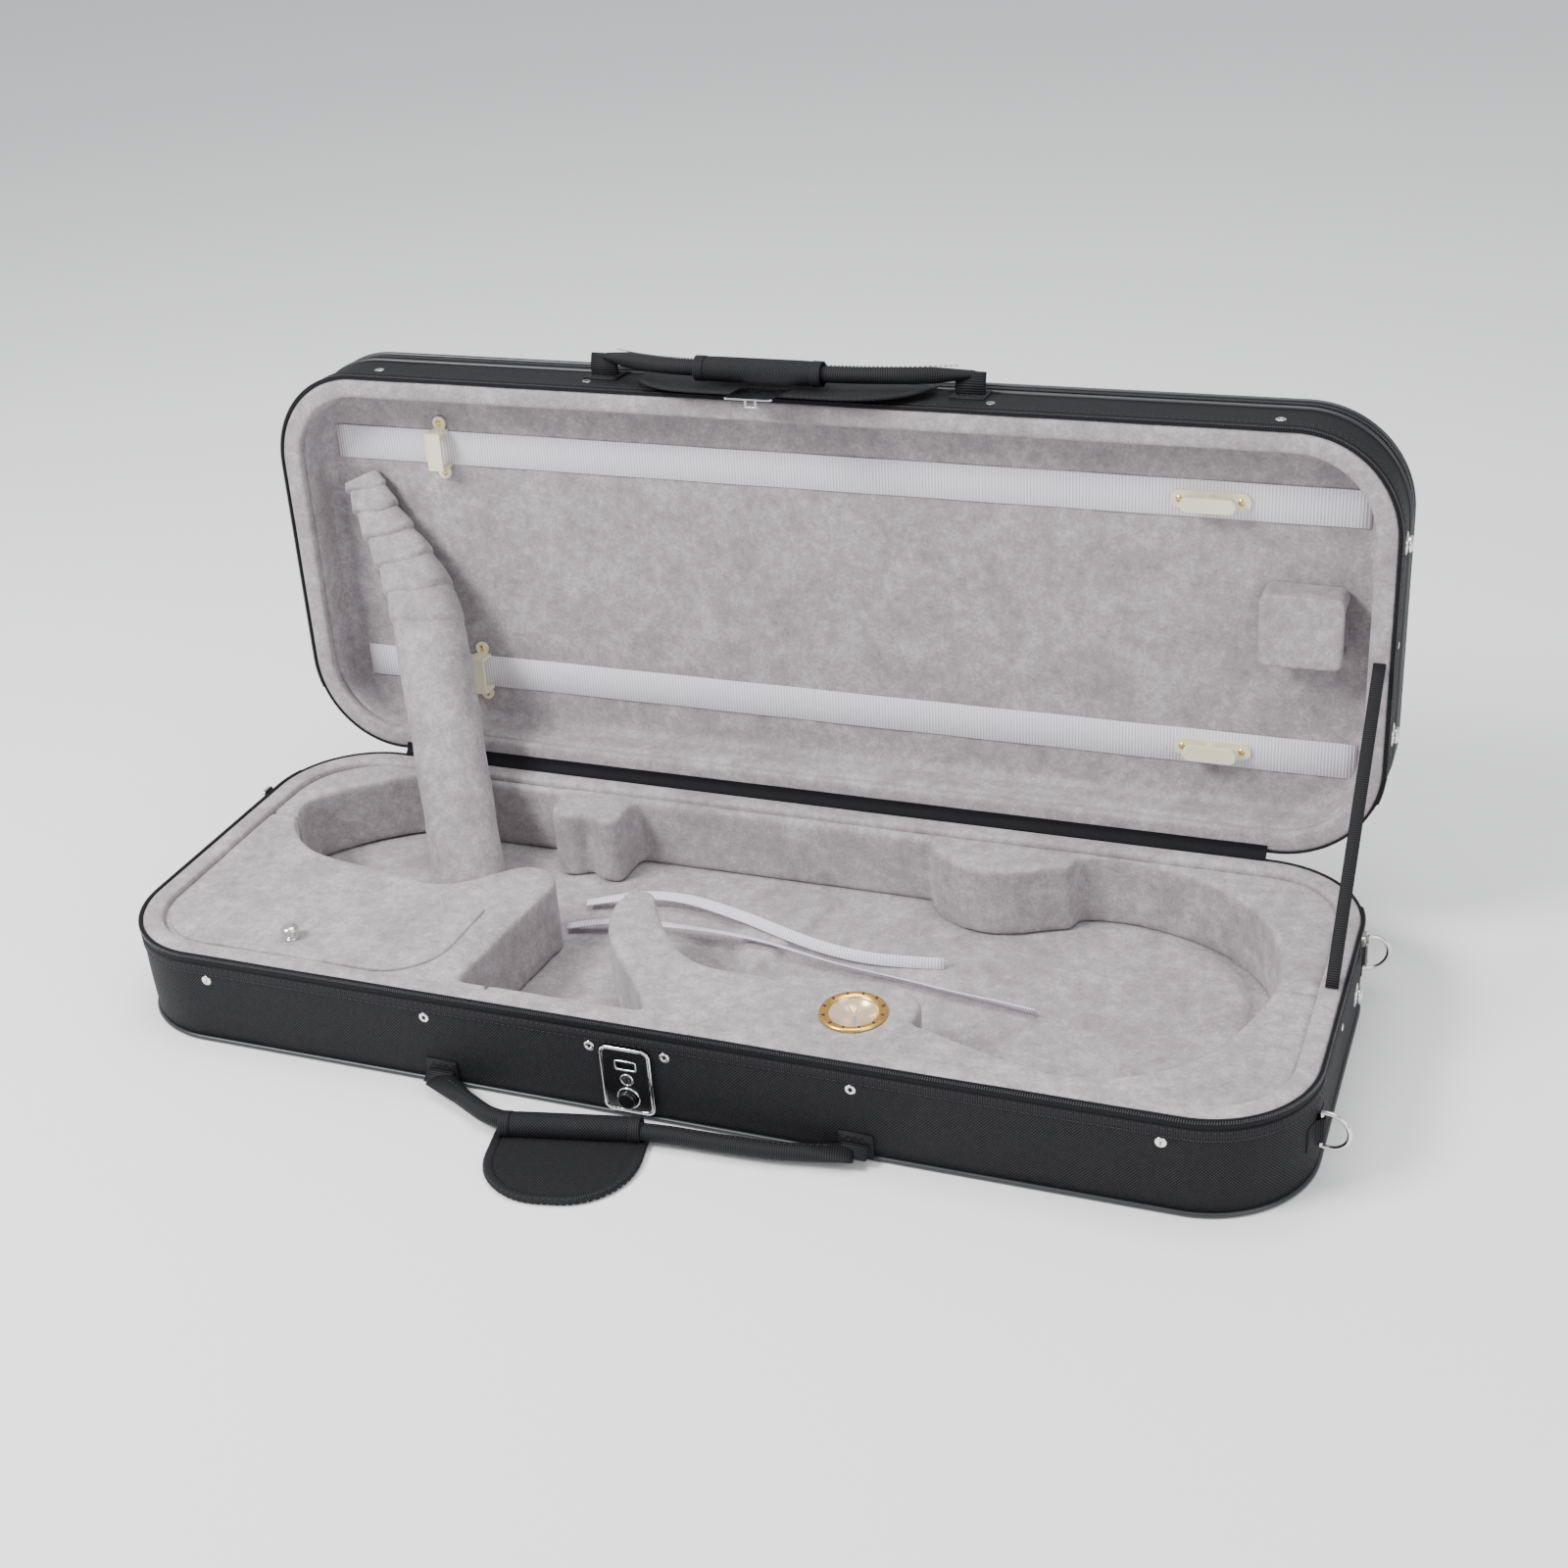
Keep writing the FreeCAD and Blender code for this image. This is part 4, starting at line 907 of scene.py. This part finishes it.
def handles():
    grip = (BASE_ROUTE[2], BASE_ROUTE[3])
    start, stop = (Vector(p) * MM for p in grip)
    heading = math.atan2(stop.y - start.y, stop.x - start.x)
    middle = (start + stop) / 2
    flap = Matrix.Translation((middle.x, middle.y, 2.6 * MM)) @ Matrix.Rotation(heading, 4, "Z")
    handle("base_handle", BASE_ROUTE, Matrix.Identity(4), "base_handle",
           ("base_handle_strap", "base_handle_grip"), grip, (92, 62, 40, 2.0), flap, Vector((0, 0, 1)))
    hang = LID_OPEN @ Matrix.Translation((0, FRONT - 12.5 * MM, 44 * MM)) @ Matrix.Rotation(
        math.radians(90 - LID_TILT), 4, "X")
    reach = -LID_ROUTE[3][1] * MM
    folded = hang @ Matrix.Translation((-19 * MM, -reach, 0)) @ Matrix.Rotation(math.pi, 4, "Z")
    up = (hang.to_3x3() @ Vector((0, 0, 1))).normalized()
    handle("lid_handle", LID_ROUTE, hang, "lid_handle", ("lid_handle_strap", "lid_handle_grip"),
           (LID_ROUTE[3], LID_ROUTE[5]), (86, 28, 24, 2.0), folded, up)
    for side, x in (("left", -146), ("right", 137)):
        webbing_tab("base_tab_" + side, Vector((x, -146.3, 2)) * MM, Vector((1, 0, 0)), Vector((0, 0, 1)),
                    Vector((0, -1, 0)), "base", 7 * MM, size=(22, 17))
    lid_turn = LID_OPEN.to_3x3()
    for side, x in (("left", -146), ("right", 118)):
        webbing_tab("lid_tab_" + side, lid_point(x, -146.3, 43), lid_turn @ Vector((1, 0, 0)),
                    lid_turn @ Vector((0, 0, -1)), lid_turn @ Vector((0, -1, 0)), "lid", 12 * MM,
                    size=(24, 19))


# ------------------------------------------------------------------ turned metal
def lathe(bm, profile, matrix, sides=28, wave=None, hollow=False):
    """Turn a profile of (radius, height) pairs about Z, then place it; a hollow one is a ring."""
    first = len(bm.verts)
    rows = []
    for radius, height in profile:
        ring = []
        for k in range(sides):
            angle = math.tau * k / sides
            reach = radius * wave(angle, radius) if wave else radius
            ring.append(bm.verts.new((reach * math.cos(angle), reach * math.sin(angle), height)))
        rows.append(ring)
    for a, b in zip(rows, rows[1:] + (rows[:1] if hollow else [])):
        bridge(bm, a, b)
    if not hollow:
        bm.faces.new(list(reversed(rows[0])))
        bm.faces.new(rows[-1])
    bm.verts.ensure_lookup_table()
    bmesh.ops.transform(bm, matrix=matrix, verts=bm.verts[first:])


def facing(place, outward):
    return Matrix.Translation(place) @ Vector(outward).to_track_quat("Z", "Y").to_matrix().to_4x4()


RIVET = [(3.6, 0.0), (3.7, 0.35), (3.35, 0.85), (2.6, 1.15), (1.7, 1.0), (1.25, 0.62), (0.55, 0.50),
         (0.06, 0.48)]
FOOT_DOME = [(8.0, 0.0), (8.0, 0.7), (7.0, 1.0), (5.6, 1.2), (5.3, 2.1), (5.6, 2.9), (5.2, 3.8), (3.9, 4.6),
             (2.0, 4.95), (0.08, 5.0)]
STAY_STUD = [(2.6, 0.0), (2.6, 0.4), (2.2, 0.95), (1.3, 1.3), (0.05, 1.4)]


def scaled(profile):
    return [(r * MM, h * MM) for r, h in profile]


def petals(angle, radius):
    """Six shallow petals near the middle of a rivet's head."""
    inside = max(0.0, 1 - abs(radius - 1.9 * MM) / (1.2 * MM))
    return 1 + 0.10 * inside * math.cos(6 * angle)


def studs():
    bm = bmesh.new()
    for x in (-319, -154, -37, 14, 135, 321):
        lathe(bm, scaled(RIVET), facing(Vector((x, -146, 50)) * MM, (0, -1, 0)), 36, petals)
    lathe(bm, scaled(STAY_STUD), facing(Vector((400, -2, 46)) * MM, (1, 0, 0)))
    lathe(bm, scaled(FOOT_DOME), facing(Vector((400, 62, 28)) * MM, (1, 0, 0)), 32)
    piece("base_rivets", bm, "nickel", "base", "nickel", "base_studs")
    bm = bmesh.new()
    for x in (-319, -154, 135, 321):
        lathe(bm, scaled(RIVET), facing(Vector((x, -146, 20.5)) * MM, (0, -1, 0)), 36, petals)
    lathe(bm, scaled(STAY_STUD), facing(Vector((400, -2, 23)) * MM, (1, 0, 0)))
    for y in (-68, 64):
        lathe(bm, scaled(FOOT_DOME), facing(Vector((400, y, 30)) * MM, (1, 0, 0)), 32)
    piece("lid_rivets", open_lid(bm), "nickel", "lid", "nickel", "lid_studs")


def knob():
    low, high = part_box("compartment_knob")
    centre = (low + high) / 2
    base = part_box("compartment_lid")[1].z
    profile = [(5.0, 0), (5.0, 0.9), (4.2, 1.5), (2.3, 2.0), (2.1, 3.6), (2.6, 4.4), (4.6, 4.9), (5.8, 5.8),
               (6.0, 7.0), (5.7, 8.0), (4.4, 9.2), (2.8, 9.9), (1.2, 10.0), (0.06, 9.9)]
    bm = bmesh.new()
    lathe(bm, scaled(profile), Matrix.Translation((centre.x, centre.y, base)), 40)
    piece("box_knob", bm, "nickel", "compartment_lid", "nickel", "compartment_knob")


def hygrometer():
    """Gilt bezel with a notched rim, and the graduations and pointer on the dial; the domed lens is left as
    the CAD lens.
    """
    low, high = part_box("hygrometer_bezel")
    centre = (low + high) / 2
    top = high.z
    place = Matrix.Translation((centre.x, centre.y, top - 2.2 * MM))
    profile = [(18.0, -7.0), (18.0, 0.0), (21.5, 0.0), (21.5, 1.1), (20.9, 1.9), (19.6, 2.2), (18.0, 2.0),
               (16.6, 1.5), (15.6, 0.9), (15.4, -2.0)]
    bm = bmesh.new()
    lathe(bm, scaled(profile), place, 96)
    piece("gauge_bezel", bm, "gilt", "base", "gilt", "hygrometer_bezel")
    marks = bmesh.new()
    spot = Vector((centre.x, centre.y, top + 0.06 * MM))
    for k in range(12):
        angle = math.tau * k / 12
        way = Vector((math.cos(angle), math.sin(angle), 0))
        across = Vector((-way.y, way.x, 0))
        brick(marks, spot + way * 18.9 * MM, across, way, Vector((0, 0, 1)), (1.3 * MM, 2.2 * MM, 0.3 * MM))
    dial_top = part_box("hygrometer_dial")[0].z + 0.85 * MM
    for k in range(41):
        angle = math.radians(215 - 250 * k / 40)
        way = Vector((math.cos(angle), math.sin(angle), 0))
        across = Vector((-way.y, way.x, 0))
        length = 2.6 if k % 5 == 0 else 1.4
        brick(marks, Vector((centre.x, centre.y, dial_top)) + way * (12.6 - length / 2) * MM, across, way,
              Vector((0, 0, 1)), (0.22 * MM, length * MM, 0.08 * MM))
    spoke = Vector((math.cos(math.radians(128)), math.sin(math.radians(128)), 0))
    brick(marks, Vector((centre.x, centre.y, dial_top + 0.5 * MM)) + spoke * 3.5 * MM,
          Vector((-spoke.y, spoke.x, 0)), spoke, Vector((0, 0, 1)), (0.7 * MM, 14 * MM, 0.3 * MM))
    piece("gauge_marks", marks, "ink", "base", "dial")


# ------------------------------------------------------------------ lock
LOCK = Vector((-12, -149.2, 0)) * MM


def rounded_frame(bm, centre, half_w, half_h, radius, width, height):
    """A raised rounded-rectangle bead on the case's front face."""
    points = []
    for cx, cz, start in ((1, 1, 0), (-1, 1, 90), (-1, -1, 180), (1, -1, 270)):
        for k in range(9):
            t = math.radians(start + 90 * k / 8)
            x = cx * (half_w - radius) + radius * math.cos(t)
            z = cz * (half_h - radius) + radius * math.sin(t)
            points.append((x, z))
    bead = ((-width / 2, 0), (-width / 2, height * 0.6), (0, height), (width / 2, height * 0.6),
            (width / 2, 0))
    rows = []
    for i, (x, z) in enumerate(points):
        (px, pz), (nx, nz) = points[i - 1], points[(i + 1) % len(points)]
        tangent = Vector((nx - px, 0, nz - pz)).normalized()
        side = Vector((tangent.z, 0, -tangent.x))
        at = centre + Vector((x, 0, z))
        rows.append([bm.verts.new(at + side * a + Vector((0, -b, 0))) for a, b in bead])
    for a, b in zip(rows, rows[1:] + rows[:1]):
        bridge(bm, a, b)


def lock_trim():
    """Bright edge, slot surround and rings on the enamelled lock plate."""
    bm = bmesh.new()
    rounded_frame(bm, LOCK + Vector((0, 0, 30 * MM)), 16.2 * MM, 23.2 * MM, 4.6 * MM, 2.2 * MM, 0.4 * MM)
    rounded_frame(bm, LOCK + Vector((0, 0, 41 * MM)), 6.9 * MM, 3.2 * MM, 1.2 * MM, 1.1 * MM, 0.35 * MM)
    for z, inner, outer, height in ((30.5, 3.5, 4.5, 0.55), (17.0, 6.5, 7.8, 0.9)):
        ring = [(inner, 0), (inner, height), ((inner + outer) / 2, height * 1.2), (outer, height * 0.7),
                (outer, 0)]
        lathe(bm, scaled(ring), facing(LOCK + Vector((0, 0, z * MM)), (0, -1, 0)), 40, hollow=True)
    piece("lock_bright_trim", bm, "chrome", "base", "lock_metal")


# ------------------------------------------------------------------ music pocket
def pocket():
    """Gusset with its zip, and the crowned woven panel with a piped edge that covers it."""
    wall_top = 59.1 * MM
    bm = sweep([(0.0, 44.2 * MM), (0.25 * MM, 47 * MM), (0.3 * MM, 56 * MM), (0.0, wall_top),
                (-1.0 * MM, wall_top), (-1.0 * MM, 44.2 * MM)])
    piece("pocket_gusset", open_lid(bm), "oxford", "lid", "nylon", "pocket_zip")
    bm = sweep(box_profile(0.25 * MM, 0.8 * MM, 47.4 * MM, 56.6 * MM, 0.15 * MM), part="zip")
    piece("pocket_zip_tape", open_lid(bm), "tape", "lid", "zip_tape")
    links = bmesh.new()
    for high, lean in ((51.1 * MM, 0.3), (52.9 * MM, -0.3)):
        coil(links, 1.2 * MM, high, lean)
    piece("pocket_zip_teeth", open_lid(links), "teeth", "lid", "zip_tape")
    panel = bmesh.new()
    uv = panel.loops.layers.uv.new("UVMap")
    rim = [(p, w) for p, w, run in plan()]
    rings = 16
    rows = []
    for k in range(rings):
        share = k / rings
        row = []
        for place, way in rim:
            at = (place - way * 0.4 * MM) * (1 - share)
            uneven = 0.5 * MM * noise.noise(Vector((at.x, at.y, 0.3)) * 11) * share
            crown = 1.6 * MM * (1 - (1 - share) ** 6) + uneven
            row.append(panel.verts.new((at.x, at.y, LID_H - 1.9 * MM + crown)))
        rows.append(row)
    for a, b in zip(rows, rows[1:]):
        bridge(panel, a, b)
    panel.faces.new(rows[-1])
    under = [panel.verts.new((v.co.x, v.co.y, 59.6 * MM)) for v in rows[0]]
    bridge(panel, under, rows[0])
    panel.faces.new(list(reversed(under)))
    flat_uv(panel, uv)
    piece("pocket_panel_cloth", open_lid(panel), "oxford", "pocket_cover", "nylon", "pocket_panel")
    bm = sweep(round_profile(0.1 * MM, 61.2 * MM, 1.75 * MM))
    piece("pocket_edge_piping", open_lid(bm), "vinyl", "pocket_cover", "piping")


# ------------------------------------------------------------------ ribbons, loops and the lock flap
def bow_ribbons():
    for name, y in (("upper", -99), ("lower", 77)):
        line = []
        for k in range(91):
            sag = 0.25 * math.sin(k * 0.55) * (k % 90 != 0)
            line.append(Vector((-372 + 750 * k / 90, y + 12.5, 35.1 - sag)) * MM)
        bm = tube(line, flat_section(25 * MM, 0.7 * MM), up=Vector((0, 0, 1)))
        ribbon = piece("bow_ribbon_" + name, open_lid(bm), "grosgrain", "lid", "ribbon", "bow_ribbons")


def ring_loops():
    """Ribbed webbing folded round each D-ring's bar and sewn to the wall."""
    level = Vector((0, 0, 34 * MM))
    for name, angle, sign in (("front", -9, -1), ("back", 20, 1)):
        a = math.radians(angle)
        out = Vector((math.cos(a), math.sin(a), 0))
        side = Vector((-out.y, out.x, 0))
        centre = Vector((HALF_L - CORNER, sign * (HALF_W - CORNER), 0))
        pin = centre + out * (CORNER + 2.9 * MM) + level
        fold = []
        for k in range(15):
            t = math.radians(-78 + 156 * k / 14)
            fold.append(pin + out * 2.3 * MM * math.cos(t) + side * 2.3 * MM * math.sin(t))
        before = [a - (2.6 + 2.4 * k) * MM / CORNER for k in range(5, 0, -1)]
        after = [2 * a - b for b in reversed(before)]
        sewn = [[centre + Vector((math.cos(b), math.sin(b), 0)) * (CORNER + 0.9 * MM) + level
                 for b in angles] for angles in (before, after)]
        bm = tube(sewn[0] + fold + sewn[1], flat_section(1.2 * MM, 17 * MM, 0.1), up=Vector((0, 0, 1)))
        piece("ring_loop_" + name, bm, "webbing", "base", "webbing", "ring_loops")


def lock_flap():
    """Bound flap over the lock, lifted a little from the lid's wall."""
    pivot = Vector((0, -148.3, 41.5)) * MM
    tilt = Matrix.Rotation(math.radians(-5.5), 4, "X")
    lift = Matrix.Translation(pivot) @ tilt @ Matrix.Translation(-pivot)
    on_wall = Matrix.Translation(Vector((-12, -149.35, 41.5)) * MM) @ Matrix.Rotation(math.pi / 2, 4, "X")
    bound_flap("lock_flap_cloth", 204 * MM, 54 * MM, 52 * MM, 0.8 * MM, LID_OPEN @ lift @ on_wall, "lock_flap",
               "nylon", 0.4 * MM, 0.35 * MM)
    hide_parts("lock_flap")


def box_lid():
    """Velvet lid of the accessory box, softened at its edge."""
    made = velvet_skin("box_lid_velvet", "compartment_lid", 1.1 * MM, 0.5, 3)
    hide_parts("compartment_lid")
    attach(made, "compartment_lid")


# ------------------------------------------------------------------ carried CAD pieces
CARRIED = {
    "oxford": ("base_shell", "lid_shell"),
    "nickel": ("d_ring_front", "d_ring_back", "main_slider_left", "main_slider_right", "main_pull_left",
               "main_pull_right", "pocket_slider_left", "pocket_slider_right", "pocket_pull_left",
               "pocket_pull_right", "key_cylinder", "base_hinge_leaves", "lid_hinge_leaves"),
    "chrome": ("hasp_plate",),
    "enamel": ("lock_plate", "lock_button"),
    "ivory": ("bow_clips", "turner_plates", "bow_turner_upper", "bow_turner_lower"),
    "brass": ("bow_screws",),
    "dial": ("hygrometer_dial",),
    "glass": ("hygrometer_lens",),
}
# width of the rounded edges in mm
EASED = {"bow_clips": 0.7, "turner_plates": 0.6, "bow_turner_upper": 1.3, "bow_turner_lower": 1.3,
         "hasp_plate": 0.35, "lock_plate": 0.6}


def carried():
    """Small fittings keep their CAD shape and take a material, some with rounded edges."""
    for material, nodes in CARRIED.items():
        for node in nodes:
            obj = frame["nodes"][node]
            obj.data.materials.clear()
            obj.data.materials.append(MAT[material])
            if node in EASED:
                bevel = obj.modifiers.new("eased", "BEVEL")
                bevel.width = EASED[node] * MM
                bevel.segments = 3
                bevel.limit_method = "ANGLE"
                bevel.angle_limit = math.radians(40)


velvet_stay()
strap_stay()
hinge_cloth()
handles()
studs()
knob()
hygrometer()
lock_trim()
pocket()
bow_ribbons()
ring_loops()
lock_flap()
box_lid()
carried()
